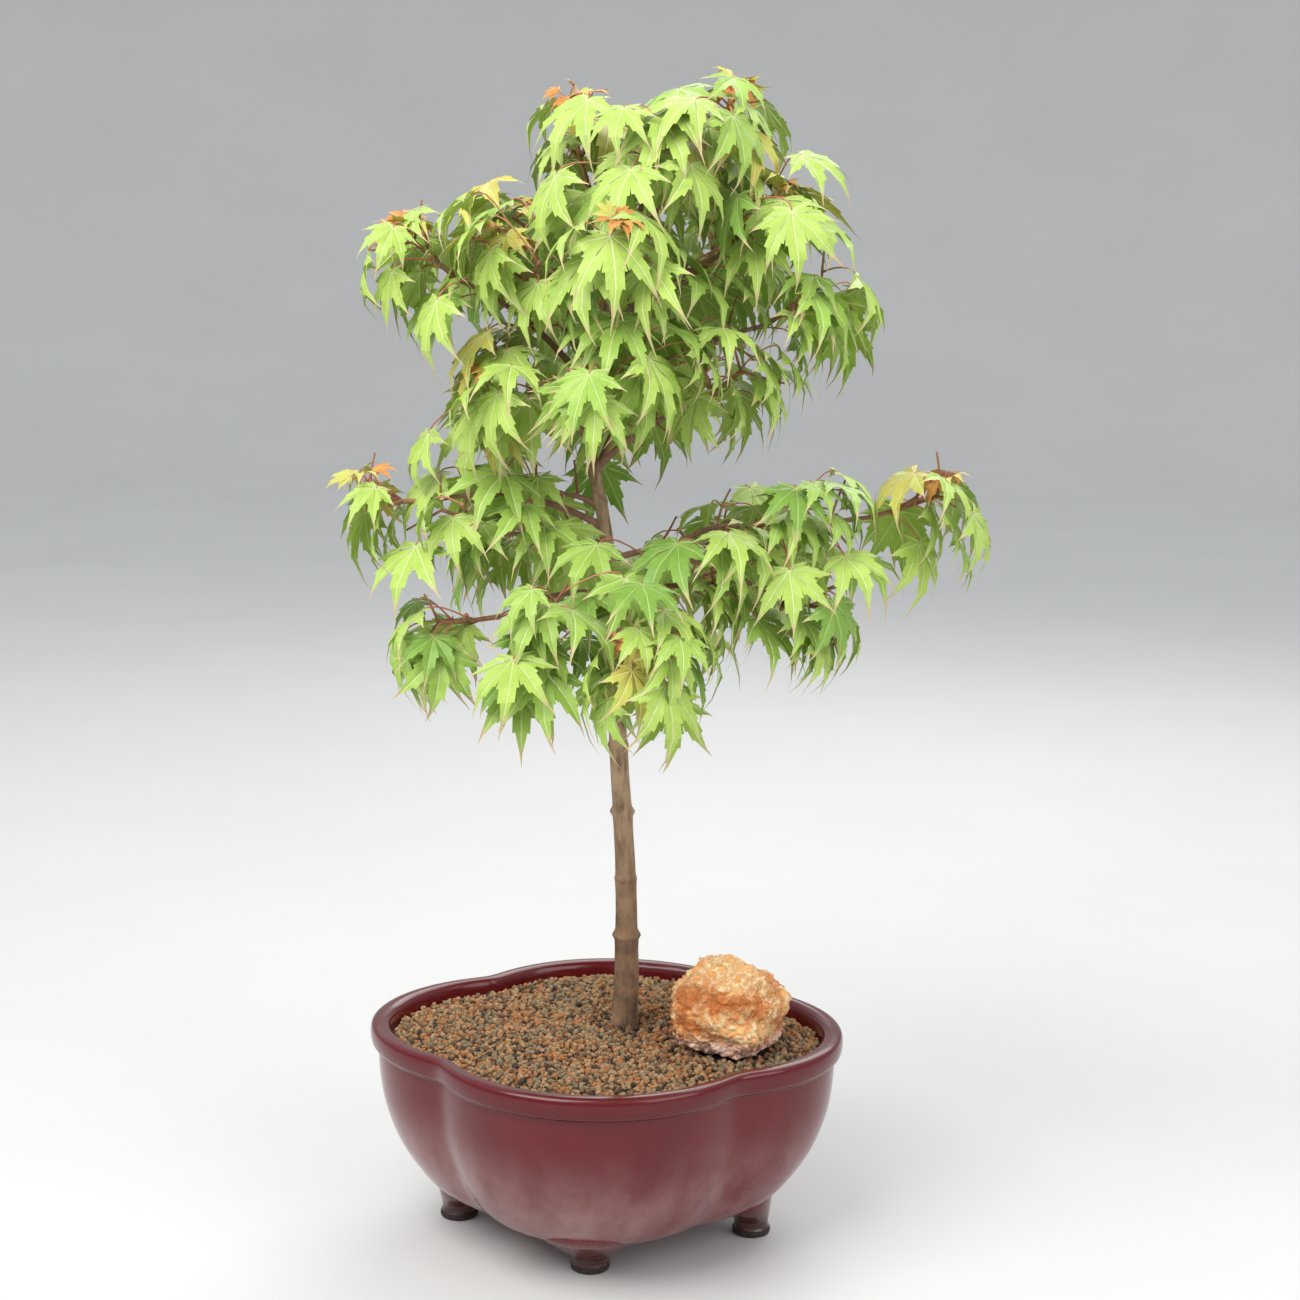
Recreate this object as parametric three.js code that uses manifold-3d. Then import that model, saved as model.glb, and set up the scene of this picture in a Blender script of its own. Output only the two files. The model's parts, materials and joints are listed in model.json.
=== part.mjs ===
// A small japanese maple, kept as a bonsai in its own pot.
//
// A thin young trunk stands in a glazed pot with four lobes and four feet. The pot is filled with
// granular soil, and an orange stone lies beside the trunk. The crown is open and lies in tiers:
// each mass of leaves hangs on a bough of its own and keeps to its own space.
//
// Millimetres, +Z up, +X along the pot's long axis, -Y to the front. The origin is on the ground
// under the middle of the whole plant's bounding box.

import * as THREE from "three";
import { mergeVertices } from "three/addons/utils/BufferGeometryUtils.js";
import Module from "manifold-3d";

const wasm = await Module();
wasm.setup();

// ---------------------------------------------------------------------------------------------
// Driving dimensions. Places on the plant are measured from the middle of the pot, on the ground.
// ---------------------------------------------------------------------------------------------

const POT_PLACE = [-29.5, -5.5, 0]; // the pot's middle, from the part's origin
const SEAT_GAP = 0.3; // between pieces that touch
const CUT_GAP = 0.38; // between the faceted skins of a limb and the one that bears it
const UP = new THREE.Vector3(0, 0, 1);

// Pot: a ten inch oval with four lobes.
const POT_HALF_WIDTH = 127;
const POT_HALF_DEPTH = 117;
const POT_HEIGHT = 114;
const POT_STEPS = 40; // round the pot
const LOBE_OFFSET = 0.33; // from the pot's middle to a lobe's own, as a share of the half width
const RIM_BAND_HEIGHT = 12;
const RIM_WALL = 0.91; // inner edge of the rim, as a share of its outline

// Feet: four, under the lobes, flaring upwards from a round pad. Their tops are sunk into the pot.
const FOOT_PROFILE = [
  // half width, half depth, height, share of the lean
  [10, 10, 0, 0],
  [10.4, 10.4, 3, 0],
  [9.8, 9.4, 7, 0.05],
  [15, 11, 13, 0.3],
  [21.5, 12.6, 20, 0.75],
  [23, 13.4, 24, 1],
  [22, 11, 27, 1.1],
];
const FOOT_STEPS = 8;
const SIDE_FOOT_X = 80;
const SIDE_FOOT_LEAN = -2.5; // outwards, from the pad to the top
const FRONT_FOOT_Y = 56;
const FRONT_FOOT_LEAN = 16;

// Soil and stone.
const SOIL_LEVEL = 110;
const SOIL_EDGE_LEVEL = 107;
const SOIL_FLOOR = 30;
const STONE_PLACE = [66.6, -13];
const STONE_SIZE = [30.5, 31, 46]; // half width, half depth, height
const STONE_FULLNESS = 0.86; // power of a round lump's coordinates, below 1 for fuller shoulders
const STONE_MIDDLE = 0.7; // from its flat underside to its middle, where its top is 1 above that
const STONE_DETAIL = 2;

// Trunk: height above the ground, lean in x and y, diameter.
const TRUNK = [
  [SOIL_LEVEL + SEAT_GAP, 8.4, 13.0, 18.5],
  [116, 8.6, 13.0, 14.6],
  [140, 9.3, 13.1, 13.0],
  [200, 7.8, 12.9, 10.8],
  [257, 4.0, 12.5, 9.8],
  [310, 1.0, 12.2, 8.8],
  [354, -1.1, 12.0, 7.4],
  [385, -5.6, 11.5, 6.8],
  [424, -12.8, 10.7, 5.8],
  [462, -11.0, 9.0, 4.9],
  [500, -1.0, 7.0, 4.0],
  [540, 13.0, 5.0, 3.0],
];
const FLARE_RING = 112; // height of a ring within the root flare
const TRUNK_STEP = 16;
const TRUNK_SIDES = 10;
const NODE_HEIGHTS = [158, 190, 226]; // swollen rings where leaves of past years stood
const NODE_SWELL = 0.9;
const NODE_HALF_LENGTH = 3;

// Boughs and twigs.
const BOUGH_SIDES = 5;
const BOUGH_STEP = 20;
const BOUGH_TIP_RADIUS = 1.4;
const BOUGH_ENTRY = 0.6; // how far out from a mass's middle its bough ends, as a share of its reach
const BOUGH_BEND = 0.45; // where it is lifted by its rise, as a share of its length
const TWIG_SIDES = 3;
const TWIG_TIP_RADIUS = 1.05;
const SIDE_TWIG_RADIUS = 1.3;
const INTERNODE = 17;
const STEM_INTERNODE = [0.85, 1.15]; // shortest and longest, as shares of INTERNODE
const SIDE_INTERNODE = [0.7, 1.05];
const STEM_START = 2; // length that runs on straight from the bough's tip
const STEM_LIFT = 0.32; // how far the stem runs above the middle of its mass, as a share of its reach
const STEM_PAST = 0.35; // how far it runs on past the middle, as a share of the way in
const STEM_TURN = [0.35, 0.7]; // how far it turns to its goal at its first node and at later ones
const STEM_WAVER = [0.16, 0.16, 0.12];
const STEM_RISE = 0.1;
const PAIR_TURN = 12; // degrees from level, of the pair of side twigs at the stem's first node
const PAIR_FORWARD = 0.5;
const PAIR_RISE = 0.12;
const PAIR_WAVER = 0.2;
const LONG_TWIGS = 0.6; // share of the side twigs that have two internodes
const TWIG_SPACE = 0.96; // share of its space that a mass's twigs keep to

// Leaves: palmate, hanging outwards. Angles from the midrib, lengths as shares of the middle lobe.
const LEAF_LENGTH = 43;
const LEAF_THICKNESS = 0.028; // at the joint, as a share of its length
const PETIOLE = 22;
const PETIOLE_RADIUS = 0.45;
const BUD_BACK = 1.6; // from a node back to the roots of its leaves
const LOBE_ANGLES = [-82, -39, 0, 39, 82];
const LOBE_LENGTHS = [0.64, 0.92, 1, 0.92, 0.64];
const NOTCH_ANGLES = [-61, -20, 20, 61];
const NOTCH_LENGTHS = [0.38, 0.45, 0.45, 0.38];
const BLADE_BASE = 0.035; // half width where the petiole joins
const BLADE_DROOP = 0.24;
const JOINT_FORWARD = 0.05;
const BLADE_MIDDLE = 0.35; // along the midrib
const LEAF_REACH = 1.2; // farthest point of a leaf and its petiole from the blade's middle

// How a leaf sets off from its bud and hangs.
const PETIOLE_FORWARD = 0.6; // lean along the twig
const PETIOLE_SIDE = 0.7;
const PETIOLE_HEADING = 0.5;
const PETIOLE_RISE = [-0.25, 0.4];
const PETIOLE_SHARE = [0.4, 1.6]; // shortest and longest, as shares of PETIOLE
const HEADING_SIDE = 0.9; // pull of the leaf's side of the twig on where the blade points
const HEADING_OUT = 0.55; // pull of the way out of the crown
const LIGHT = new THREE.Vector3(0, -0.35, 0); // pull of the light, to the front
const HEADING_SPREAD = 60; // degrees
const DROOP = [25, 75]; // degrees
const ROLL = 20; // degrees
const LARGEST_LEAF = 1.12; // the first leaves of a mass
const LATE_LOSS = 0.35; // how much smaller its last ones are
const SIZE_SPREAD = 0.12;
const LEAST_FORWARD = 0.15; // a blade folded back over its petiole more than this is skipped

// Room round the leaves.
const LEAF_SPACING = 12; // least distance between the middles of two blades
const LEAF_TRIES = 2500; // in each mass
const MOST_LEAVES = 10;
const LIMB_CLEARANCE = 1.2;
const SPACE_MARGIN = 0.25; // kept to the border between two masses
const BEAD_STEP = 3; // along a limb, between the points that leaves and twigs keep clear of
const BEADS_WITHIN = 140; // of a mass's middle
const FIRST_SEED = 54;
const SEED_STEP = 7919; // from one mass to the next

// Masses: middle, reach along x, y and z, and the bough each hangs on. A bough leaves the trunk at
// a height, or another mass's bough at a share of its length, with a radius there, and arches up by
// its rise.
const MASSES = [
  mass("top_left", [-20, 8, 564], [46, 56, 42], "trunk", 500, 2.0, 2),
  mass("top_middle", [24, -24, 548], [44, 50, 44], "trunk", 508, 2.0, 4),
  mass("top_right", [54, 8, 570], [44, 52, 40], "trunk", 518, 2.0, 4),
  mass("upper_left_outer", [-96, -8, 506], [38, 50, 42], "trunk", 450, 2.4, 16),
  mass("upper_left", [-48, -24, 500], [50, 54, 52], "trunk", 456, 2.2, 8),
  mass("upper_front", [8, -58, 496], [52, 54, 52], "trunk", 470, 2.2, 6),
  mass("upper_right", [80, -6, 520], [54, 54, 50], "trunk", 478, 2.3, 6),
  mass("right_shoulder", [101, -6, 482], [44, 52, 42], "trunk", 440, 2.4, 12),
  mass("upper_back_left", [-54, 66, 508], [60, 54, 58], "trunk", 470, 2.2, 6),
  mass("upper_back_right", [48, 72, 506], [62, 56, 58], "trunk", 462, 2.3, 8),
  mass("middle_left", [-48, -28, 438], [52, 54, 46], "trunk", 424, 2.4, 6),
  mass("middle_front", [20, -58, 450], [48, 52, 46], "trunk", 416, 2.4, 4),
  mass("middle_right", [64, -16, 444], [50, 52, 46], "trunk", 408, 2.5, 8),
  mass("middle_back", [4, 78, 434], [68, 54, 52], "trunk", 404, 2.5, 8),
  mass("middle_left_low", [-54, 8, 394], [54, 54, 38], "trunk", 388, 2.3, 4),
  mass("far_left", [-112, -8, 382], [33, 44, 42], "trunk", 378, 2.4, 18),
  mass("low_left_upper", [-76, -16, 370], [42, 46, 42], "trunk", 360, 2.2, 8),
  mass("low_left", [-78, -26, 314], [42, 46, 52], "trunk", 342, 2.4, 12),
  mass("low_front_left", [-23, -58, 316], [44, 52, 62], "trunk", 330, 2.4, 14),
  mass("low_front", [24, -64, 308], [48, 54, 56], "trunk", 322, 2.4, 14),
  mass("low_front_right", [54, -32, 340], [50, 50, 50], "trunk", 346, 2.2, 6),
  mass("low_right_far", [160, 8, 378], [46, 50, 50], "trunk", 354, 3.0, 8),
  mass("low_right", [98, -14, 380], [54, 54, 46], "low_right_far", 0.22, 1.8, 12),
  mass("low_right_bottom", [101, -20, 332], [40, 46, 42], "low_right_far", 0.26, 1.7, 2),
  mass("low_back_left", [-54, 70, 348], [62, 56, 60], "trunk", 366, 2.5, 8),
  mass("low_back_right", [54, 78, 342], [64, 56, 60], "trunk", 360, 2.5, 8),
];

// Colours.
const CERAMIC = { color: 0x5c1626, roughness: 0.16, metalness: 0 };
const SOIL = { color: 0x7d6348, roughness: 0.95, metalness: 0 };
const STONE = { color: 0xc07a3a, roughness: 0.85, metalness: 0 };
const BARK = { color: 0x8a6f5c, roughness: 0.85, metalness: 0 };
const LEAF_GREEN = { color: 0x86b83c, roughness: 0.6, metalness: 0 };

// ---------------------------------------------------------------------------------------------
// Small helpers
// ---------------------------------------------------------------------------------------------

function mass(name, middle, reach, from, at, baseRadius, rise) {
  return {
    name,
    middle: new THREE.Vector3(...middle),
    reach: new THREE.Vector3(...reach),
    from,
    at,
    baseRadius,
    rise,
  };
}

function vector(x, y, z) {
  return new THREE.Vector3(x, y, z);
}

function radians(degrees) {
  return (degrees * Math.PI) / 180;
}

// A seeded stream of numbers from 0 to 1.
function seeded(seed) {
  let state = seed >>> 0;
  return () => {
    state = (state + 0x6d2b79f5) >>> 0;
    let t = state;
    t = Math.imul(t ^ (t >>> 15), t | 1);
    t ^= t + Math.imul(t ^ (t >>> 7), t | 61);
    return ((t ^ (t >>> 14)) >>> 0) / 4294967296;
  };
}

// A number from -1 to 1.
function signed(random) {
  return 2 * random() - 1;
}

function between([low, high], random) {
  return low + (high - low) * random();
}

function geometryOf(points, triangles) {
  const geometry = new THREE.BufferGeometry();
  geometry.setAttribute("position", new THREE.Float32BufferAttribute(points.flat(), 3));
  geometry.setIndex(triangles.flat());
  return geometry;
}

// A closed geometry as a solid that can be joined and cut.
function solidOf(geometry) {
  const bare = geometry.clone();
  bare.deleteAttribute("normal");
  bare.deleteAttribute("uv");
  const merged = mergeVertices(bare, 1e-4);
  return new wasm.Manifold(
    new wasm.Mesh({
      numProp: 3,
      vertProperties: new Float32Array(merged.attributes.position.array),
      triVerts: new Uint32Array(merged.index.array),
    }),
  );
}

function geometryOfSolid(solid) {
  const made = solid.getMesh();
  const geometry = new THREE.BufferGeometry();
  geometry.setAttribute("position", new THREE.BufferAttribute(new Float32Array(made.vertProperties), 3));
  geometry.setIndex(new THREE.BufferAttribute(new Uint32Array(made.triVerts), 1));
  geometry.computeVertexNormals();
  return geometry;
}

function joined(solids) {
  return solids.reduce((all, next) => all.add(next));
}

// The largest body of a solid: loose scraps are dropped.
function largestBody(solid) {
  return solid.decompose().reduce((a, b) => (b.volume() > a.volume() ? b : a));
}

function meshOf(name, geometry, look) {
  const mesh = new THREE.Mesh(geometry, new THREE.MeshStandardMaterial(look));
  mesh.name = name;
  return mesh;
}

// ---------------------------------------------------------------------------------------------
// Pot
// ---------------------------------------------------------------------------------------------

// The outline's radius in a direction, as a share of the oval: four round lobes of one size, full in
// the middle of each and drawn in at the creases between them.
function lobed(angle) {
  const quarter = Math.PI / 2;
  const fromLobe = angle - quarter * Math.round(angle / quarter);
  const lobeRadius = 1 - LOBE_OFFSET;
  return LOBE_OFFSET * Math.cos(fromLobe) + Math.sqrt(lobeRadius ** 2 - (LOBE_OFFSET * Math.sin(fromLobe)) ** 2);
}

// A lathe whose profile is [share of the oval, height], pressed into the four lobes.
function lobedTurning(profile, inset = 0) {
  const points = profile.map(([share, height]) => new THREE.Vector2(share, height));
  const geometry = new THREE.LatheGeometry(points, POT_STEPS);
  geometry.rotateX(Math.PI / 2);
  const position = geometry.attributes.position;
  for (let i = 0; i < position.count; i++) {
    const share = Math.hypot(position.getX(i), position.getY(i));
    const angle = Math.atan2(position.getY(i), position.getX(i));
    const wide = share * lobed(angle);
    const x = wide * POT_HALF_WIDTH * Math.cos(angle);
    const y = wide * POT_HALF_DEPTH * Math.sin(angle);
    const radius = Math.hypot(x, y);
    const kept = radius > inset ? (radius - inset) / radius : 1;
    position.setXY(i, x * kept, y * kept);
  }
  return geometry;
}

const WALL_TOP = [RIM_WALL - 0.005, POT_HEIGHT - 8];
const WALL_FOOT = [0.62, SOIL_FLOOR - 2];

function potBody() {
  const bandFoot = POT_HEIGHT - RIM_BAND_HEIGHT;
  return solidOf(
    lobedTurning([
      [0, 16],
      [0.42, 16],
      [0.6, 18],
      [0.72, 25],
      [0.81, 37],
      [0.895, 54],
      [0.95, 75],
      [0.97, bandFoot - 2],
      [0.99, bandFoot],
      [1, bandFoot + 4],
      [0.998, POT_HEIGHT - 3],
      [0.975, POT_HEIGHT],
      [0.935, POT_HEIGHT],
      [RIM_WALL, POT_HEIGHT - 3],
      WALL_TOP,
      WALL_FOOT,
      [0, SOIL_FLOOR - 2],
    ]),
  );
}

// One foot: a round pad, a narrow ankle and a flared top that leans away from the pot's middle. Its
// width runs along the pot's outline.
function footBody(x, y, lean) {
  const atSide = x !== 0;
  const rings = FOOT_PROFILE.map(([halfWidth, halfDepth, height, leanShare]) =>
    Array.from({ length: FOOT_STEPS }, (_, i) => {
      const angle = (2 * Math.PI * i) / FOOT_STEPS;
      const across = halfWidth * Math.cos(angle);
      const along = halfDepth * Math.sin(angle);
      const out = lean * leanShare;
      return atSide
        ? [x + Math.sign(x) * out - along, y + across, height]
        : [x + across, y + Math.sign(y) * out + along, height];
    }),
  );
  return solidOf(loft(rings));
}

function pot() {
  return joined([
    potBody(),
    footBody(-SIDE_FOOT_X, 0, SIDE_FOOT_LEAN),
    footBody(SIDE_FOOT_X, 0, SIDE_FOOT_LEAN),
    footBody(0, -FRONT_FOOT_Y, FRONT_FOOT_LEAN),
    footBody(0, FRONT_FOOT_Y, FRONT_FOOT_LEAN),
  ]);
}

// ---------------------------------------------------------------------------------------------
// Soil and stone
// ---------------------------------------------------------------------------------------------

// Fills the pot to just below its rim, flat round the trunk and a little lower at the wall.
function soil() {
  return lobedTurning(
    [
      [0, SOIL_FLOOR],
      [WALL_FOOT[0], SOIL_FLOOR],
      [WALL_TOP[0], WALL_TOP[1]],
      [WALL_TOP[0], SOIL_EDGE_LEVEL],
      [0.82, SOIL_LEVEL],
      [0, SOIL_LEVEL],
    ],
    3 * SEAT_GAP,
  );
}

// A rough lump with a flat underside.
function stone() {
  const [halfWidth, halfDepth, height] = STONE_SIZE;
  const geometry = new THREE.IcosahedronGeometry(1, STONE_DETAIL);
  const position = geometry.attributes.position;
  for (let i = 0; i < position.count; i++) {
    const round = [position.getX(i), position.getY(i), position.getZ(i)];
    const [x, y, z] = round.map((v) => Math.sign(v) * Math.abs(v) ** STONE_FULLNESS);
    const rough =
      0.94 +
      0.05 * Math.sin(5.1 * x + 2.3 * y + 1.2) +
      0.045 * Math.sin(6.7 * y - 3.1 * z + 0.4) +
      0.035 * Math.sin(9.3 * z + 4.2 * x + 2.1);
    const raised = Math.max(0, (z * rough + STONE_MIDDLE) / (1 + STONE_MIDDLE));
    position.setXYZ(
      i,
      STONE_PLACE[0] + halfWidth * x * rough,
      STONE_PLACE[1] + halfDepth * y * rough,
      SOIL_LEVEL + SEAT_GAP + height * raised,
    );
  }
  return geometry;
}

// ---------------------------------------------------------------------------------------------
// Limbs
// ---------------------------------------------------------------------------------------------

// A closed skin over rings of equal count, each wound counterclockwise seen from the ring's far
// side, with a fan at both ends.
function loft(rings) {
  const count = rings[0].length;
  const points = rings.flat();
  const triangles = [];
  for (let r = 0; r + 1 < rings.length; r++)
    for (let i = 0; i < count; i++) {
      const a = r * count + i;
      const b = r * count + ((i + 1) % count);
      triangles.push([a, b, b + count], [a, b + count, a + count]);
    }
  const last = (rings.length - 1) * count;
  for (let i = 1; i + 1 < count; i++) {
    triangles.push([0, i + 1, i]);
    triangles.push([last, last + i, last + i + 1]);
  }
  return geometryOf(points, triangles);
}

// A round limb over a list of points with a radius at each. The rings keep their turn from one
// point to the next, so the limb does not twist.
function limbGeometry(points, radii, sides) {
  let across = null;
  const rings = points.map((point, i) => {
    const before = points[Math.max(0, i - 1)];
    const after = points[Math.min(points.length - 1, i + 1)];
    const along = after.clone().sub(before).normalize();
    if (across === null)
      across = Math.abs(along.z) > 0.8 ? vector(1, 0, 0) : UP.clone();
    across = across.clone().addScaledVector(along, -across.dot(along)).normalize();
    const other = along.clone().cross(across);
    return Array.from({ length: sides }, (_, k) => {
      const angle = (2 * Math.PI * k) / sides;
      return point
        .clone()
        .addScaledVector(across, radii[i] * Math.cos(angle))
        .addScaledVector(other, radii[i] * Math.sin(angle))
        .toArray();
    });
  });
  return loft(rings);
}

// Place and radius of the trunk at a height: a smooth curve through its stations.
function trunkAt(height) {
  const last = TRUNK.length - 1;
  let i = 0;
  while (i < last - 1 && height > TRUNK[i + 1][0]) i++;
  const span = TRUNK[i + 1][0] - TRUNK[i][0];
  const t = Math.min(1, Math.max(0, (height - TRUNK[i][0]) / span));
  const [x, y, diameter] = [1, 2, 3].map((column) => {
    const slope = (k) => {
      const [a, b] = [Math.max(0, k - 1), Math.min(last, k + 1)];
      return (TRUNK[b][column] - TRUNK[a][column]) / (TRUNK[b][0] - TRUNK[a][0]);
    };
    const [from, to] = [TRUNK[i][column], TRUNK[i + 1][column]];
    const [m0, m1] = [slope(i) * span, slope(i + 1) * span];
    const [t2, t3] = [t * t, t * t * t];
    return (2 * t3 - 3 * t2 + 1) * from + (t3 - 2 * t2 + t) * m0 + (3 * t2 - 2 * t3) * to + (t3 - t2) * m1;
  });
  return { point: vector(x, y, height), radius: diameter / 2 };
}

const TRUNK_FOOT = TRUNK[0][0];
const TRUNK_TOP = TRUNK[TRUNK.length - 1][0];

// Heights of the trunk's rings: even steps, closer at the flare and at the swollen nodes.
function trunkHeights() {
  const heights = [TRUNK_FOOT, FLARE_RING, TRUNK[1][0], TRUNK_TOP];
  for (let z = TRUNK[1][0] + TRUNK_STEP; z < TRUNK_TOP - TRUNK_STEP / 2; z += TRUNK_STEP)
    if (NODE_HEIGHTS.every((node) => Math.abs(z - node) > 2 * NODE_HALF_LENGTH)) heights.push(z);
  for (const node of NODE_HEIGHTS)
    heights.push(node - NODE_HALF_LENGTH, node, node + NODE_HALF_LENGTH);
  return heights.sort((a, b) => a - b);
}

// The trunk, or a copy of it that is wider by an extra.
function trunk(extra = 0) {
  const heights = trunkHeights();
  const rings = heights.map((height) => {
    const { point, radius } = trunkAt(height);
    const swell = NODE_HEIGHTS.includes(height) ? NODE_SWELL : 0;
    return Array.from({ length: TRUNK_SIDES }, (_, k) => {
      const angle = (2 * Math.PI * k) / TRUNK_SIDES;
      const wide = radius + swell + extra;
      return [point.x + wide * Math.cos(angle), point.y + wide * Math.sin(angle), height];
    });
  });
  return loft(rings);
}

// The point that a mass's stem makes for, above its middle, so that its leaves can hang.
function crestOf(space) {
  return space.middle.clone().addScaledVector(UP, STEM_LIFT * space.reach.z);
}

// How far a mass reaches from its middle in a direction.
function reachToward(space, direction) {
  const { x, y, z } = space.reach;
  return 1 / Math.hypot(direction.x / x, direction.y / y, direction.z / z);
}

// A bough's axis: an arch from its parent's axis to the border of the mass that it carries.
function boughPath(space, parents) {
  const from = space.from === "trunk" ? trunkAt(space.at).point : alongPath(parents[space.from], space.at);
  const crest = crestOf(space);
  const back = from.clone().sub(crest).normalize();
  const tip = crest.clone().addScaledVector(back, BOUGH_ENTRY * reachToward(space, back));
  const bend = from.clone().lerp(tip, BOUGH_BEND).addScaledVector(UP, space.rise);
  const curve = new THREE.QuadraticBezierCurve3(from, bend, tip);
  const steps = Math.max(3, Math.round(from.distanceTo(tip) / BOUGH_STEP));
  const points = Array.from({ length: steps + 1 }, (_, i) => curve.getPoint(i / steps));
  const radii = points.map((_, i) => space.baseRadius + (BOUGH_TIP_RADIUS - space.baseRadius) * (i / steps));
  return { points, radii };
}

// The point at a share of a path's steps.
function alongPath(path, share) {
  const at = share * (path.points.length - 1);
  const i = Math.min(path.points.length - 2, Math.floor(at));
  return path.points[i].clone().lerp(path.points[i + 1], at - i);
}

// A bough with the gap round it that another bough keeps.
function grown(path) {
  return solidOf(limbGeometry(path.points, path.radii.map((r) => r + CUT_GAP), BOUGH_SIDES));
}

// ---------------------------------------------------------------------------------------------
// Spaces of the masses
// ---------------------------------------------------------------------------------------------

// Half the width of a mass in a direction.
function supportOf(space, direction) {
  const { x, y, z } = space.reach;
  return Math.hypot(direction.x * x, direction.y * y, direction.z * z);
}

// The flat borders between a mass and its neighbours: each divides the way between two middles in
// the ratio of their reaches.
function bordersOf(space) {
  return MASSES.filter((other) => other !== space).map((other) => {
    const normal = other.middle.clone().sub(space.middle);
    const apart = normal.length();
    normal.divideScalar(apart);
    const own = supportOf(space, normal);
    const limit = (apart * own) / (own + supportOf(other, normal)) - SPACE_MARGIN;
    return { normal, limit };
  });
}

function inSpace(space, point, share = 1) {
  const from = point.clone().sub(space.middle);
  const { x, y, z } = space.reach;
  const ball = (from.x / x) ** 4 + (from.y / y) ** 4 + (from.z / z) ** 4;
  return ball <= share && space.borders.every(({ normal, limit }) => from.dot(normal) <= limit);
}

// Points along every limb with their radii, for the clearance of twigs and leaves.
function limbBeads(name, points, radii) {
  const beads = [];
  for (let i = 0; i + 1 < points.length; i++) {
    const steps = Math.max(1, Math.round(points[i].distanceTo(points[i + 1]) / BEAD_STEP));
    for (let k = 0; k < steps; k++) {
      const t = k / steps;
      const point = points[i].clone().lerp(points[i + 1], t);
      beads.push({ name, point, radius: radii[i] + (radii[i + 1] - radii[i]) * t });
    }
  }
  return beads;
}

// ---------------------------------------------------------------------------------------------
// Leaves and twigs
// ---------------------------------------------------------------------------------------------

// The blade's outline and its two middles in its own axes: across, along the midrib, and up.
function bladeOutline() {
  const outline = [[BLADE_BASE, -0.02, 0]];
  const onBlade = (degrees, length) => [
    length * Math.sin(radians(degrees)),
    length * Math.cos(radians(degrees)) + JOINT_FORWARD,
    -BLADE_DROOP * length * length,
  ];
  for (let i = LOBE_ANGLES.length - 1; i >= 0; i--) {
    outline.push(onBlade(LOBE_ANGLES[i], LOBE_LENGTHS[i]));
    if (i > 0) outline.push(onBlade(NOTCH_ANGLES[i - 1], NOTCH_LENGTHS[i - 1]));
  }
  outline.push([-BLADE_BASE, -0.02, 0]);
  return outline;
}

const OUTLINE = bladeOutline();

// One leaf as points: the outline, the top and bottom of the joint, then the petiole's root.
function leafPoints(leaf) {
  const place = ([a, m, n]) =>
    leaf.joint
      .clone()
      .addScaledVector(leaf.across, a * leaf.length)
      .addScaledVector(leaf.midrib, m * leaf.length)
      .addScaledVector(leaf.normal, n * leaf.length);
  const points = OUTLINE.map(place);
  points.push(place([0, JOINT_FORWARD, LEAF_THICKNESS / 2]));
  points.push(place([0, JOINT_FORWARD, -LEAF_THICKNESS / 2]));
  points.push(leaf.root.clone().addScaledVector(leaf.across, PETIOLE_RADIUS));
  points.push(leaf.root.clone().addScaledVector(leaf.across, -PETIOLE_RADIUS));
  points.push(leaf.root.clone().addScaledVector(leaf.normal, -1.5 * PETIOLE_RADIUS));
  return points;
}

// The closed leaf: a fan over the blade, a fan under it, and the petiole as a three-sided prism.
function leafTriangles() {
  const right = 0;
  const left = OUTLINE.length - 1;
  const top = OUTLINE.length;
  const bottom = top + 1;
  const [rootRight, rootLeft, rootBottom] = [top + 2, top + 3, top + 4];
  const triangles = [[top, left, right]];
  for (let i = 0; i < left; i++) triangles.push([top, i, i + 1], [bottom, i + 1, i]);
  const seen = [right, left, bottom];
  const root = [rootRight, rootLeft, rootBottom];
  for (let i = 0; i < 3; i++) {
    const k = (i + 1) % 3;
    triangles.push([seen[i], seen[k], root[k]], [seen[i], root[k], root[i]]);
  }
  triangles.push([rootRight, rootLeft, rootBottom]);
  return triangles;
}

const LEAF_TRIANGLES = leafTriangles();

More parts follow.
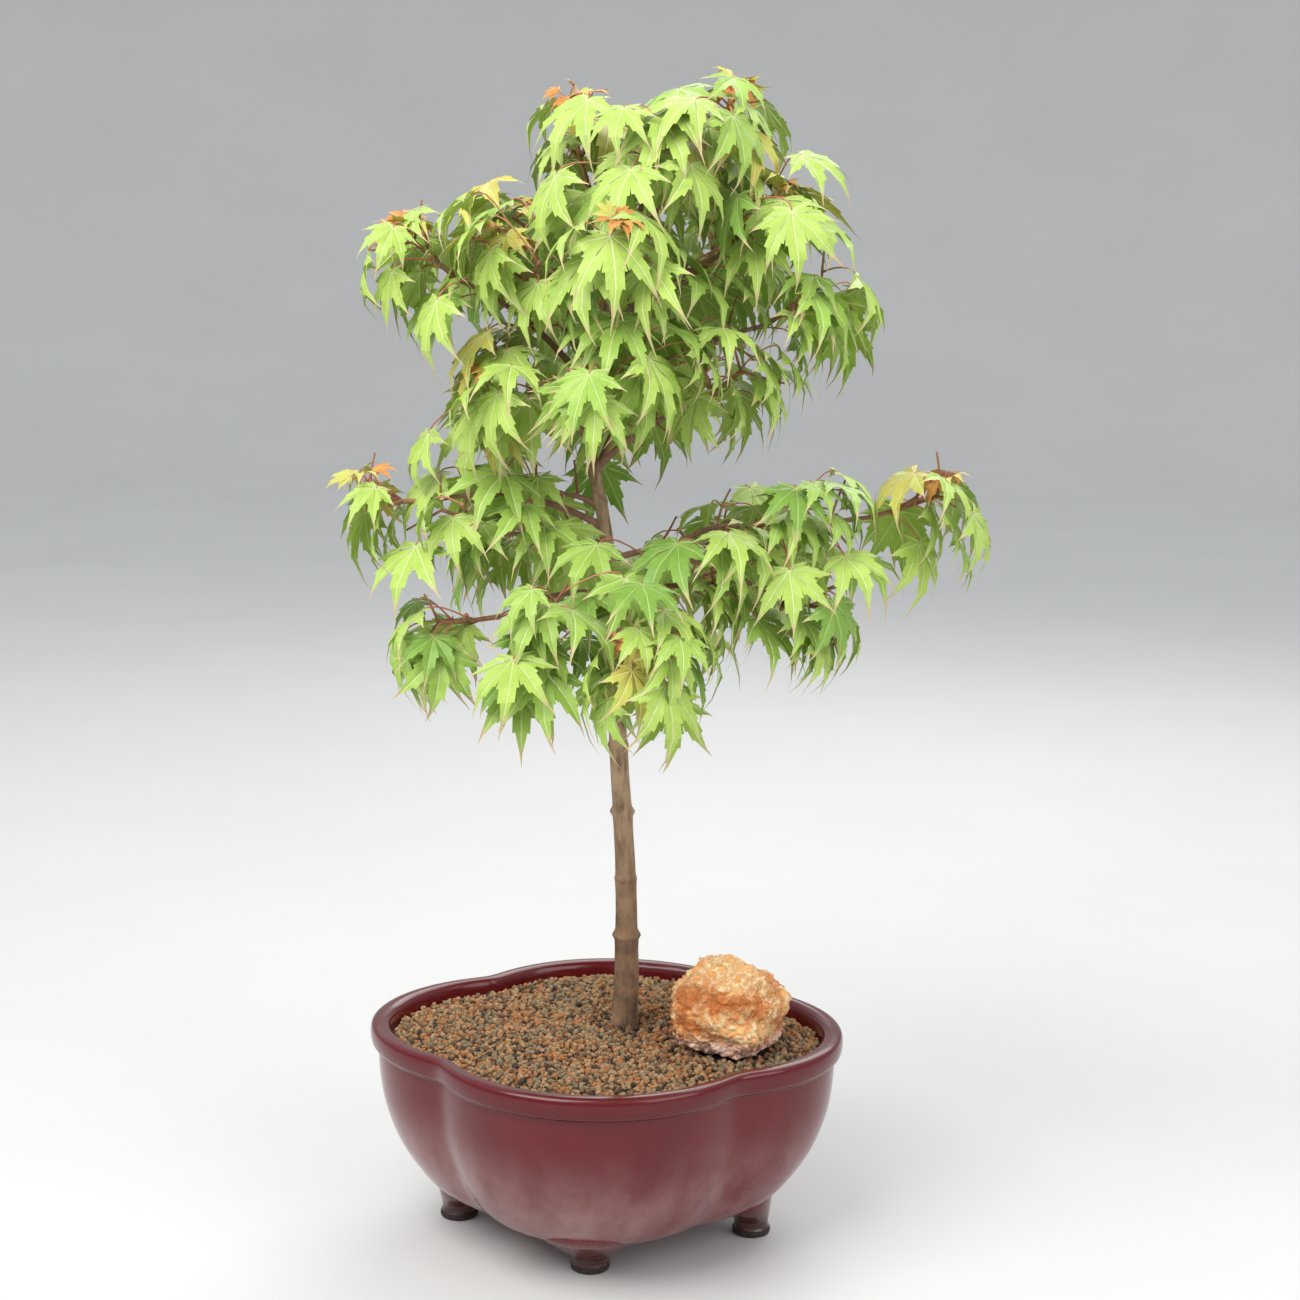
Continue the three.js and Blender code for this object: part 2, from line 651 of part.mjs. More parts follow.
// One try at a leaf on a bud: its petiole sets off sideways and rises, and its blade heads out of
// the crown and hangs. Later tries make smaller leaves, which fill what the large ones left.
function tryLeaf(space, bud, share, random) {
  const outward = vector(bud.point.x - space.axis.x, bud.point.y - space.axis.y, 0).normalize();
  const side = bud.along.clone().cross(UP).normalize().applyAxisAngle(bud.along, Math.PI * signed(random));
  side.addScaledVector(bud.along, PETIOLE_FORWARD).normalize();
  const heading = vector(side.x, side.y, 0)
    .multiplyScalar(HEADING_SIDE)
    .addScaledVector(outward, HEADING_OUT)
    .add(LIGHT)
    .applyAxisAngle(UP, radians(HEADING_SPREAD) * signed(random))
    .normalize();
  const way = side.clone().multiplyScalar(PETIOLE_SIDE).addScaledVector(heading, PETIOLE_HEADING);
  way.z += between(PETIOLE_RISE, random);
  way.normalize();
  const droop = radians(between(DROOP, random));
  const midrib = heading.clone().multiplyScalar(Math.cos(droop)).addScaledVector(UP, -Math.sin(droop));
  const normal = heading.clone().multiplyScalar(Math.sin(droop)).addScaledVector(UP, Math.cos(droop));
  normal.applyAxisAngle(midrib, radians(ROLL) * signed(random));
  const petiole = PETIOLE * between(PETIOLE_SHARE, random);
  const length = LEAF_LENGTH * (LARGEST_LEAF - LATE_LOSS * share - SIZE_SPREAD * random());
  const joint = bud.point.clone().addScaledVector(way, petiole);
  return {
    root: bud.point.clone(),
    joint,
    middle: joint.clone().addScaledVector(midrib, BLADE_MIDDLE * length),
    across: midrib.clone().cross(normal),
    midrib,
    normal,
    length,
    forward: way.dot(midrib),
  };
}

const scratchTriangle = new THREE.Triangle();
const scratchLine = new THREE.Line3();
const scratchPoint = new THREE.Vector3();
const scratchRay = new THREE.Ray();
const TOP = OUTLINE.length;

// True where the straight thread from a to b passes through a leaf's blade.
function pierces(a, b, points) {
  const length = a.distanceTo(b);
  scratchRay.origin.copy(a);
  scratchRay.direction.copy(b).sub(a).divideScalar(length);
  for (const middle of [points[TOP], points[TOP + 1]])
    for (let i = 0; i + 1 < TOP; i++) {
      const hit = scratchRay.intersectTriangle(middle, points[i], points[i + 1], false, scratchPoint);
      if (hit && scratchPoint.distanceTo(a) < length) return true;
    }
  return false;
}

// True where two blades cross: an edge or a midrib of one passes through the other.
function bladesCross(one, other) {
  for (let i = 0; i + 1 < TOP; i++) {
    if (pierces(one[i], one[i + 1], other) || pierces(other[i], other[i + 1], one)) return true;
    if (pierces(one[TOP], one[i], other) || pierces(other[TOP], other[i], one)) return true;
  }
  return false;
}

// True where a leaf touches no leaf and no twig that its mass already has.
function leafIsFree(leaf, points, twigs, leaves) {
  for (const other of leaves) {
    if (other.middle.distanceTo(leaf.middle) > LEAF_REACH * (leaf.length + other.length)) continue;
    if (other.middle.distanceTo(leaf.middle) < LEAF_SPACING) return false;
    if (bladesCross(points, other.points)) return false;
    if (pierces(leaf.root, leaf.joint, other.points)) return false;
    if (pierces(other.root, other.joint, points)) return false;
  }
  return twigs.every((twig) => twig.points.every((p, i) => i === 0 || !pierces(twig.points[i - 1], p, points)));
}

// True where a leaf stays clear of every limb; its petiole may start beside its own bough.
function leafClearsLimbs(space, leaf, points) {
  for (const bead of space.beads) {
    if (bead.point.distanceTo(leaf.middle) > LEAF_REACH * leaf.length) continue;
    const clear = bead.radius + LIMB_CLEARANCE;
    for (let i = 0; i + 1 < TOP; i++) {
      scratchTriangle.set(points[TOP], points[i], points[i + 1]);
      scratchTriangle.closestPointToPoint(bead.point, scratchPoint);
      if (scratchPoint.distanceTo(bead.point) < clear) return false;
    }
    scratchLine.set(leaf.root, leaf.joint).closestPointToPoint(bead.point, true, scratchPoint);
    if (bead.name !== space.bearer && scratchPoint.distanceTo(bead.point) < clear) return false;
  }
  return true;
}

function leafFits(space, leaf, points, twigs, leaves) {
  if (leaf.forward < LEAST_FORWARD) return false;
  if (!points.every((point) => inSpace(space, point))) return false;
  return leafIsFree(leaf, points, twigs, leaves) && leafClearsLimbs(space, leaf, points);
}

// True where a twig keeps to its space and clear of every limb but the one that bears it.
function twigFits(space, from, to) {
  for (let k = 1; k <= 4; k++) {
    const point = from.clone().lerp(to, k / 4);
    if (!inSpace(space, point, TWIG_SPACE)) return false;
    const clear = LIMB_CLEARANCE + TWIG_TIP_RADIUS;
    const near = (bead) => bead.point.distanceTo(point) < bead.radius + clear;
    if (space.beads.some((bead) => bead.name !== space.bearer && near(bead))) return false;
  }
  return true;
}

// The stem's way through its mass: from the bough's tip past the middle, wavering a little.
function stemPath(space, random) {
  const target = crestOf(space).lerp(space.entry, -STEM_PAST);
  const points = [space.entry.clone()];
  const heading = space.heading.clone();
  const count = Math.max(1, Math.round(space.entry.distanceTo(target) / INTERNODE));
  for (let i = 0; i < count; i++) {
    const here = points[points.length - 1];
    const wanted = target.clone().sub(here).normalize();
    heading.lerp(wanted, STEM_TURN[Math.min(i, 1)]);
    heading.add(vector(...STEM_WAVER.map((waver) => waver * signed(random))));
    heading.z += STEM_RISE;
    heading.normalize();
    const next = here.clone().addScaledVector(heading, INTERNODE * between(STEM_INTERNODE, random));
    if (i > 0 && !twigFits(space, here, next)) break;
    points.push(next);
  }
  return points;
}

// One side of the pair of side twigs: up to two internodes that keep to the space.
function sideTwig(space, node, side, along, random) {
  const heading = side.clone().addScaledVector(along, PAIR_FORWARD);
  heading.z += PAIR_RISE;
  heading.normalize();
  const points = [node.clone()];
  const wanted = random() < LONG_TWIGS ? 2 : 1;
  for (let i = 0; i < wanted; i++) {
    const here = points[points.length - 1];
    const next = here.clone().addScaledVector(heading, INTERNODE * between(SIDE_INTERNODE, random));
    heading.x += PAIR_WAVER * signed(random);
    heading.y += PAIR_WAVER * signed(random);
    heading.normalize();
    if (!twigFits(space, here, next)) break;
    points.push(next);
  }
  return points;
}

// The twigs of a mass: its stem, and a pair of opposite side twigs that pass through the stem's
// first node as one.
function growTwigs(space, random) {
  const stem = stemPath(space, random);
  const taper = (i) => BOUGH_TIP_RADIUS + ((TWIG_TIP_RADIUS - BOUGH_TIP_RADIUS) * i) / (stem.length - 1);
  const twigs = [{ points: stem, radii: stem.map((_, i) => taper(i)) }];
  const along = stem[1].clone().sub(stem[0]).normalize();
  const turn = radians(PAIR_TURN) * (random() < 0.5 ? 1 : -1);
  const side = along.clone().cross(UP).normalize().applyAxisAngle(along, turn);
  const node = stem[1].clone().addScaledVector(along, -BUD_BACK);
  const left = sideTwig(space, node, side, along, random);
  const right = sideTwig(space, node, side.clone().negate(), along, random);
  const points = [...left.slice(1).reverse(), node, ...right.slice(1)];
  const radii = points.map((point) => (point === node ? SIDE_TWIG_RADIUS : TWIG_TIP_RADIUS));
  if (points.length > 1) twigs.push({ points, radii, node });
  return twigs;
}

// The places on the twigs that can bear a leaf: every node and the middle of every internode.
function budsOf(twigs) {
  const buds = [];
  for (const { points, node } of twigs) {
    const first = node ? points.indexOf(node) : 0;
    for (let i = 0; i < points.length; i++) {
      if (i === first) continue;
      const inner = points[i < first ? i + 1 : i - 1];
      const along = points[i].clone().sub(inner).normalize();
      buds.push({ point: inner.clone().lerp(points[i], 0.5), along });
      buds.push({ point: points[i].clone().addScaledVector(along, -BUD_BACK), along });
    }
  }
  return buds;
}

// All twigs and leaves of one mass. Leaves are tried on buds taken at random, and a leaf that
// would leave the space, or touch a limb, a twig or another leaf, is skipped.
function growMass(space, index) {
  const random = seeded(FIRST_SEED + SEED_STEP * index);
  const twigs = growTwigs(space, random);
  const buds = budsOf(twigs);
  const leaves = [];
  for (let i = 0; i < LEAF_TRIES && leaves.length < MOST_LEAVES; i++) {
    const bud = buds[Math.floor(random() * buds.length)];
    const leaf = tryLeaf(space, bud, i / LEAF_TRIES, random);
    const points = leafPoints(leaf);
    if (leafFits(space, leaf, points, twigs, leaves)) leaves.push({ ...leaf, points });
  }
  return { twigs, leaves };
}

function twigGeometry({ points, radii }) {
  return limbGeometry(points, radii, TWIG_SIDES);
}

// The stem's end stands square to the bough's tip, with the seat gap between them.
function stemGeometry(space, { points, radii }) {
  const start = points[0].clone().addScaledVector(space.heading, STEM_START);
  return limbGeometry([points[0], start, ...points.slice(1)], [radii[0], ...radii], TWIG_SIDES);
}

function leafGeometry(leaf) {
  return geometryOf(
    leafPoints(leaf).map((point) => point.toArray()),
    LEAF_TRIANGLES,
  );
}

function foliage(space, { twigs, leaves }) {
  const [stem, ...pairs] = twigs;
  const geometries = [stemGeometry(space, stem), ...pairs.map(twigGeometry), ...leaves.map(leafGeometry)];
  return largestBody(joined(geometries.map(solidOf)));
}

// ---------------------------------------------------------------------------------------------
// The whole plant
// ---------------------------------------------------------------------------------------------

const plant = new THREE.Group();
plant.position.set(...POT_PLACE);
plant.add(meshOf("pot", geometryOfSolid(pot()), CERAMIC));
plant.add(meshOf("soil", soil(), SOIL));
plant.add(meshOf("stone", stone(), STONE));
plant.add(meshOf("trunk", trunk(), BARK));

const heights = trunkHeights();
const trunkPoints = heights.map((height) => trunkAt(height).point);
const trunkRadii = heights.map((height) => trunkAt(height).radius);
const grownTrunk = solidOf(trunk(CUT_GAP));
const beads = limbBeads("trunk", trunkPoints, trunkRadii);
const paths = {};

for (const space of MASSES) {
  space.borders = bordersOf(space);
  space.axis = trunkAt(Math.min(TRUNK_TOP, space.middle.z)).point;
  const path = boughPath(space, paths);
  const last = path.points.length - 1;
  paths[space.name] = path;
  space.bearer = "bough_" + space.name;
  space.heading = path.points[last].clone().sub(path.points[last - 1]).normalize();
  space.entry = path.points[last].clone().addScaledVector(space.heading, SEAT_GAP);
  beads.push(...limbBeads(space.bearer, path.points, path.radii));
  const cutter = space.from === "trunk" ? grownTrunk : grown(paths[space.from]);
  const bough = solidOf(limbGeometry(path.points, path.radii, BOUGH_SIDES)).subtract(cutter);
  plant.add(meshOf(space.bearer, geometryOfSolid(largestBody(bough)), BARK));
}

MASSES.forEach((space, index) => {
  space.beads = beads.filter((bead) => bead.point.distanceTo(space.middle) < BEADS_WITHIN);
  plant.add(meshOf("leaves_" + space.name, geometryOfSolid(foliage(space, growMass(space, index))), LEAF_GREEN));
});

const maple = new THREE.Group();
maple.name = "potted_japanese_maple";
maple.add(plant);

export default maple;
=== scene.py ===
"""The looks of a small japanese maple that is kept as a bonsai in its own pot.

Sizes are in millimetres, and places on the plant are measured from the middle of the pot, on the
ground. Each mesh is put into the frame, in metres, where it is made."""

import json
import math
from itertools import combinations

import bpy
import numpy as np
from mathutils import Matrix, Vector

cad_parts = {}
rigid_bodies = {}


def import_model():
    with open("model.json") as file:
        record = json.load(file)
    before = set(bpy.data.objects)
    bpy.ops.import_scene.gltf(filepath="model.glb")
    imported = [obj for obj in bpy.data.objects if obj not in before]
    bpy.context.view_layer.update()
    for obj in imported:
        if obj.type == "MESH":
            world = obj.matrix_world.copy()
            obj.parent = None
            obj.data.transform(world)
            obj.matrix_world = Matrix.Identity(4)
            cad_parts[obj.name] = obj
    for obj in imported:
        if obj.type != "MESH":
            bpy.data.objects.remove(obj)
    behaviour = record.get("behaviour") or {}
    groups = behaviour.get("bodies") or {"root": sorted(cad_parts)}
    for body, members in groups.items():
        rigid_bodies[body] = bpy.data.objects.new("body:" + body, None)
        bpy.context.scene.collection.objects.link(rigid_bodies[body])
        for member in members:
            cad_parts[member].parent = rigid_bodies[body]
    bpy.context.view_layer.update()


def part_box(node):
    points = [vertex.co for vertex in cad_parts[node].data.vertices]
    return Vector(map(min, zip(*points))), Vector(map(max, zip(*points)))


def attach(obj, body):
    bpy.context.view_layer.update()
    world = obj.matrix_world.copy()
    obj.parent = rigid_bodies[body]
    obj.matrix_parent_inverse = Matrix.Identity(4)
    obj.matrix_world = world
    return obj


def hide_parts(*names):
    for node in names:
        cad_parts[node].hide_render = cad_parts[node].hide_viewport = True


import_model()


# ------------------------------------------------------------------------------------------
# Pot
# Stoneware pressed into four lobes, with a rolled rim and four feet. It is dipped in a burgundy
# glaze, which runs thin and brown on the rim's edge. The lower belly is painted a pale mauve in soft
# spots, a painted reflection of the pale floor. The foot pads are wiped bare and show the dark clay.
# ------------------------------------------------------------------------------------------

pot_low, pot_high = (1000 * np.array(corner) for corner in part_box("pot"))
POT_MIDDLE = np.array([(pot_low[0] + pot_high[0]) / 2, (pot_low[1] + pot_high[1]) / 2, 0.0])
POT_HALF_WIDTH, POT_HALF_DEPTH = (pot_high - pot_low)[:2] / 2
POT_HEIGHT = pot_high[2]
LOBE_OFFSET = 0.33  # from the pot's middle to a lobe's own, as a share of the half width
CREASE_SHARPNESS = 55
BAND_FOOT = POT_HEIGHT - 12
SOIL_FLOOR = 28
POT_PROFILE = [  # share of the oval, height
    (0.0, 16.0), (0.3, 16.0), (0.42, 16.2), (0.52, 16.9), (0.6, 18.6), (0.665, 21.6), (0.72, 25.4),
    (0.767, 30.6), (0.81, 37.2), (0.856, 45.4), (0.895, 54.4), (0.927, 64.8), (0.95, 75.6),
    (0.962, 87.0), (0.966, 95.0), (0.966, BAND_FOOT - 3.4), (0.9655, BAND_FOOT - 1.6),
    (0.972, BAND_FOOT - 0.6), (0.984, BAND_FOOT + 0.2), (0.994, BAND_FOOT + 1.6),
    (0.9985, BAND_FOOT + 4.0), (1.0, BAND_FOOT + 6.4), (0.9985, POT_HEIGHT - 3.2),
    (0.993, POT_HEIGHT - 1.4), (0.981, POT_HEIGHT - 0.4), (0.965, POT_HEIGHT), (0.945, POT_HEIGHT - 0.1),
    (0.928, POT_HEIGHT - 0.9), (0.917, POT_HEIGHT - 2.6), (0.911, POT_HEIGHT - 5.0),
    (0.905, POT_HEIGHT - 9.0), (0.86, 80.0), (0.62, SOIL_FLOOR), (0.0, SOIL_FLOOR),
]  # fmt: skip
PROFILE_FINENESS = 4
POT_STEPS = 288
UNEVEN_DEPTH, UNEVEN_SIZE = 0.35, 38.0  # of the wall, which is made by hand

FOOT_PLACES = [(-80.0, 0.0, 90), (80.0, 0.0, 90), (0.0, -56.0, 0), (0.0, 56.0, 0)]
FOOT_PROFILE = [  # half width, half depth, height, share of the lean
    (9.0, 9.0, 0.0, 0.0), (9.8, 9.8, 0.5, 0.0), (10.2, 10.2, 1.6, 0.0), (10.1, 10.1, 3.4, 0.0),
    (9.5, 9.4, 4.6, 0.02), (9.4, 9.2, 6.0, 0.05), (10.6, 9.6, 8.6, 0.13), (13.8, 10.5, 12.0, 0.28),
    (18.2, 11.6, 16.0, 0.5), (21.4, 12.7, 20.0, 0.75), (23.2, 13.6, 24.0, 1.02), (22.8, 13.2, 27.0, 1.18),
    (20.4, 11.4, 29.5, 1.26), (15.0, 8.0, 31.0, 1.24),
]  # fmt: skip
FOOT_FINENESS = 3
FOOT_STEPS = 48
FRONT_LEAN, SIDE_LEAN = 16.0, -2.5  # outwards, from the pad to the top
PAD_HEIGHT = 4.0

GLAZE_DEEP = (0.105, 0.003, 0.006, 1)
GLAZE_RED = (0.13, 0.006, 0.009, 1)
# painted reflection: the pale floor reflected low on the belly, as a colour
GLAZE_REFLECTION_MAUVE = (0.30, 0.155, 0.15, 1)
GLAZE_THIN = (0.085, 0.02, 0.012, 1)
CLAY_BARE = (0.018, 0.012, 0.011, 1)

LATTICE_PRIMES, SEED_PRIME = np.array([374761393, 668265263, 1440662683]), 974711


def lumps(points, size, seed):
    """Smooth random heights from -1 to 1: a random number at each corner of a cubic lattice of a
    size, blended along each axis by 3t2 - 2t3."""
    places = np.asarray(points, float) / size
    cell = np.floor(places).astype(np.int64)
    near = places - cell
    near = near * near * (3 - 2 * near)
    total = np.zeros(places.shape[:-1])
    whole = 0xFFFFFFFF
    for corner in np.ndindex(2, 2, 2):
        mixed = ((cell + np.array(corner)) @ LATTICE_PRIMES + seed * SEED_PRIME) & whole
        mixed = ((mixed ^ (mixed >> 13)) * 1274126177) & whole
        height = (mixed ^ (mixed >> 16)) / 2147483648 - 1
        total += height * np.prod(np.where(corner, near, 1 - near), axis=-1)
    return total


def cubic(t, start, leave, end, arrive):
    """The cubic that runs from start to end as t goes from 0 to 1, with its slopes at both."""
    return (
        (2 * t**3 - 3 * t**2 + 1) * start
        + (t**3 - 2 * t**2 + t) * leave
        + (3 * t**2 - 2 * t**3) * end
        + (t**3 - t**2) * arrive
    )


def smooth_through(stations, fineness):
    """A smooth line through stations, with a number of steps between each two: the cubic whose
    slope at a station is half the way between its neighbours."""
    line = np.asarray(stations, float)
    before = np.vstack([line[:1], line[:-1]])
    after = np.vstack([line[1:], line[-1:]])
    slope = (after - before) / 2
    t = (np.arange(fineness) / fineness)[None, :, None]
    made = cubic(t, line[:-1, None], slope[:-1, None], line[1:, None], slope[1:, None])
    return np.vstack([made.reshape(-1, line.shape[1]), line[-1:]])


def lobed(angle):
    """The outline's radius in a direction as a share of the oval: the soft maximum of four circles,
    each set out from the middle towards its own side."""
    turned = angle[..., None] - np.arange(4) * math.pi / 2
    half_chord = np.sqrt((1 - LOBE_OFFSET) ** 2 - (LOBE_OFFSET * np.sin(turned)) ** 2)
    circle = LOBE_OFFSET * np.cos(turned) + half_chord
    return np.log(np.exp(CREASE_SHARPNESS * circle).sum(-1)) / CREASE_SHARPNESS


def around(count):
    """Equal turns of a full circle, from 0."""
    return np.arange(count) * 2 * math.pi / count


def wrapped_quads(rows, columns, first=0):
    """Quads between rows of points, each row closed into a ring."""
    row, column = np.meshgrid(np.arange(rows - 1), np.arange(columns), indexing="ij")
    here, beside = row * columns + column, row * columns + (column + 1) % columns
    return first + np.stack([here, beside, beside + columns, here + columns], -1).reshape(-1, 4)


def joined_tubes(skins):
    """The points of some tubes, each given as its rings, and their faces: quads between the rings,
    and a cap at each end."""
    quads, caps, first = [], [], 0
    for skin in skins:
        rows, sides = skin.shape[:2]
        ring = first + np.arange(sides)
        quads.append(wrapped_quads(rows, sides, first))
        caps += [ring[::-1], ring + (rows - 1) * sides]
        first += rows * sides
    return np.vstack([skin.reshape(-1, 3) for skin in skins]), [np.vstack(quads), np.stack(caps)]


def oval(share, angle, height):
    """Points at shares of the pot's half width and half depth, in directions from its middle."""
    x, y = share * POT_HALF_WIDTH * np.cos(angle), share * POT_HALF_DEPTH * np.sin(angle)
    return np.stack([x, y, height + 0 * share], -1)


def scene_object(name, data):
    """A new object in the scene."""
    made = bpy.data.objects.new(name, data)
    bpy.context.scene.collection.objects.link(made)
    return made


def make_piece(name, slot, points, faces, materials, kinds=None, smooth=True):
    """A mesh from points in millimetres from the pot's middle, and arrays of faces by their corners.
    Its slot is not used. Kinds give each face its material."""
    placed = (np.asarray(points, float).reshape(-1, 3) + POT_MIDDLE) / 1000
    corners = np.concatenate([part.reshape(-1) for part in faces]).astype(np.int32)
    sizes = np.concatenate([np.full(len(part), part.shape[1]) for part in faces])
    mesh = bpy.data.meshes.new(name)
    for material in materials:
        mesh.materials.append(material)
    mesh.vertices.add(len(placed))
    mesh.vertices.foreach_set("co", placed.ravel().astype(np.float32))
    mesh.loops.add(len(corners))
    mesh.loops.foreach_set("vertex_index", corners)
    mesh.polygons.add(len(sizes))
    mesh.polygons.foreach_set("loop_start", (np.cumsum(sizes) - sizes).astype(np.int32))
    mesh.polygons.foreach_set("use_smooth", np.full(len(sizes), smooth))
    if kinds is not None:
        mesh.polygons.foreach_set("material_index", np.asarray(kinds, np.int32))
    mesh.update(calc_edges=True)
    mesh.validate()
    made = scene_object(name, mesh)
    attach(made, "root")
    return made


class Wiring:
    """The nodes of a material or a node group, and the links between them."""

    def __init__(self, tree):
        self.nodes, self.links = tree.nodes, tree.links

    def add(self, kind, **settings):
        """A new node with some settings."""
        node = self.nodes.new("ShaderNode" + kind)
        for setting, value in settings.items():
            setattr(node, setting, value)
        return node

    def feed(self, socket, value):
        """Gives a socket its value, or links it to the socket that has it."""
        if isinstance(value, bpy.types.NodeSocket):
            self.links.new(value, socket)
        else:
            socket.default_value = value

    def worked(self, operation, first, second):
        """The result of a sum or another operation on two values."""
        node = self.add("Math", operation=operation)
        self.feed(node.inputs[0], first)
        self.feed(node.inputs[1], second)
        return node.outputs[0]

    def masked(self, value, low, high):
        """A mask that goes smoothly from 0 to 1 as a value goes from low to high."""
        node = self.add("MapRange", interpolation_type="SMOOTHSTEP")
        self.feed(node.inputs["From Min"], low)
        self.feed(node.inputs["From Max"], high)
        self.feed(node.inputs["Value"], value)
        return node.outputs[0]

    def mixed(self, mask, base, other):
        """A colour that goes from base to other as the mask goes from 0 to 1."""
        node = self.add("Mix", data_type="RGBA")
        self.feed(node.inputs[0], mask)
        self.feed(node.inputs[6], base)
        self.feed(node.inputs[7], other)
        return node.outputs[2]


def node_group(name, inputs, outputs):
    """A new group of nodes with sockets of given kinds: the group, its wiring, and the sockets that
    bring its values in and take them out."""
    group = bpy.data.node_groups.new(name, "ShaderNodeTree")
    for way, sockets in (("INPUT", inputs), ("OUTPUT", outputs)):
        for socket, kind in sockets.items():
            group.interface.new_socket(name=socket, in_out=way, socket_type="NodeSocket" + kind)
    given, out = group.nodes.new("NodeGroupInput"), group.nodes.new("NodeGroupOutput")
    return group, Wiring(group), given.outputs, out.inputs


def mottle_group():
    """Two colours that meet in soft spots, with the spots' mask."""
    inputs = dict(Base="Color", Spots="Color", Stretch="Vector", Fineness="Float", Edge="Float")
    group, wiring, given, out = node_group("mottle", inputs, dict(Color="Color", Mask="Float"))
    stretched = wiring.add("VectorMath", operation="MULTIPLY")
    wiring.feed(stretched.inputs[0], wiring.add("TexCoord").outputs["Object"])
    wiring.feed(stretched.inputs[1], given["Stretch"])
    noise = wiring.add("TexNoise")
    wiring.feed(noise.inputs["Vector"], stretched.outputs[0])
    wiring.feed(noise.inputs["Scale"], given["Fineness"])
    wiring.feed(noise.inputs["Detail"], 6)
    wiring.feed(noise.inputs["Roughness"], 0.6)
    low = wiring.worked("SUBTRACT", 0.5, given["Edge"])
    high = wiring.worked("ADD", 0.5, given["Edge"])
    mask = wiring.masked(noise.outputs[0], low, high)
    wiring.feed(out["Color"], wiring.mixed(mask, given["Base"], given["Spots"]))
    wiring.feed(out["Mask"], mask)
    return group


MOTTLE = mottle_group()


class Finish(Wiring):
    """A material under construction: its shader and the mottled colours that feed it."""

    def __init__(self, name, roughness, **constants):
        self.material = bpy.data.materials.new(name)
        self.material.use_nodes = True
        super().__init__(self.material.node_tree)
        self.shader = self.nodes["Principled BSDF"]
        self.shader.inputs["Roughness"].default_value = roughness
        for socket, value in constants.items():
            self.shader.inputs[socket.replace("_", " ")].default_value = value

    def mottle(self, base, spots, fineness, edge=0.15, stretch=(1, 1, 1)):
        """The group's colour and mask; base and spots are colours, or sockets that give them."""
        node = self.add("Group", node_tree=MOTTLE)
        values = dict(Base=base, Spots=spots, Fineness=fineness, Edge=edge, Stretch=stretch)
        for name, value in values.items():
            self.feed(node.inputs[name], value)
        return node.outputs["Color"], node.outputs["Mask"]

    def by_height(self, low, high):
        """A mask that goes from 0 to 1 between two heights in millimetres."""
        split = self.add("SeparateXYZ")
        self.feed(split.inputs[0], self.add("TexCoord").outputs["Object"])
        return self.masked(split.outputs["Z"], low / 1000, high / 1000)

    def color(self, socket):
        """Base colour from a socket."""
        self.feed(self.shader.inputs["Base Color"], socket)

    def rough(self, mask, low, high):
        """Roughness from low to high as a mask goes from 0 to 1."""
        span = self.add("MapRange")
        self.feed(span.inputs["To Min"], low)
        self.feed(span.inputs["To Max"], high)
        self.feed(span.inputs["Value"], mask)
        self.feed(self.shader.inputs["Roughness"], span.outputs[0])

    def bump(self, height, depth, strength=1.0):
        """Relief from a mask, of a depth in millimetres."""
        node = self.add("Bump")
        self.feed(node.inputs["Strength"], strength)
        self.feed(node.inputs["Distance"], depth / 1000)
        self.feed(node.inputs["Height"], height)
        self.feed(self.shader.inputs["Normal"], node.outputs[0])


def simple_finish(name, roughness, base, spots, fineness, edge=0.15, depth=0):
    """A material of two mottled colours, whose spots stand out by a depth in millimetres."""
    made = Finish(name, roughness)
    color, mask = made.mottle(base, spots, fineness, edge)
    made.color(color)
    if depth:
        made.bump(mask, depth)
    return made.material


def glaze():
    """Burgundy, with a pale mauve cloud low on the belly, a painted reflection of the pale floor, and thin
    at the rim.
    """
    made = Finish("burgundy_glaze", 0.2, Specular_IOR_Level=0.35, Coat_Weight=0.25, Coat_Roughness=0.04)
    # painted reflection: pale mauve spots stand for the pale floor reflected in the lower belly
    floor_reflection, mask = made.mottle(GLAZE_REFLECTION_MAUVE, GLAZE_RED, 22, 0.22, (1, 1, 0.6))
    upper, _ = made.mottle(GLAZE_RED, GLAZE_DEEP, 34, 0.2, (1, 1, 0.4))
    # below this height the belly takes the painted reflection of the floor
    belly = made.mixed(made.by_height(45, BAND_FOOT - 12), floor_reflection, upper)
    banded = made.mixed(made.by_height(BAND_FOOT - 2.5, BAND_FOOT - 0.5), belly, GLAZE_DEEP)
    thin, _ = made.mottle(GLAZE_DEEP, GLAZE_THIN, 60, 0.2, (1, 1, 1))
    made.color(made.mixed(made.by_height(POT_HEIGHT - 1.8, POT_HEIGHT + 0.2), banded, thin))
    made.rough(mask, 0.14, 0.24)
    return made.material


def foot_glaze():
    """The same glaze, thin and brown on a foot's neck and red on its shoulder."""
    made = Finish("foot_glaze", 0.22, Coat_Weight=0.4, Coat_Roughness=0.06)
    low, mask = made.mottle(GLAZE_THIN, (0.04, 0.012, 0.01, 1), 120, 0.2)
    high, _ = made.mottle(GLAZE_DEEP, GLAZE_RED, 70, 0.2)
    made.color(made.mixed(made.by_height(6, 27), low, high))
    made.rough(mask, 0.18, 0.34)
    return made.material


def bare_clay():
    """Dark unglazed clay, a little gritty."""
    return simple_finish("bare_clay", 0.8, CLAY_BARE, (0.05, 0.03, 0.025, 1), 700, depth=0.2)


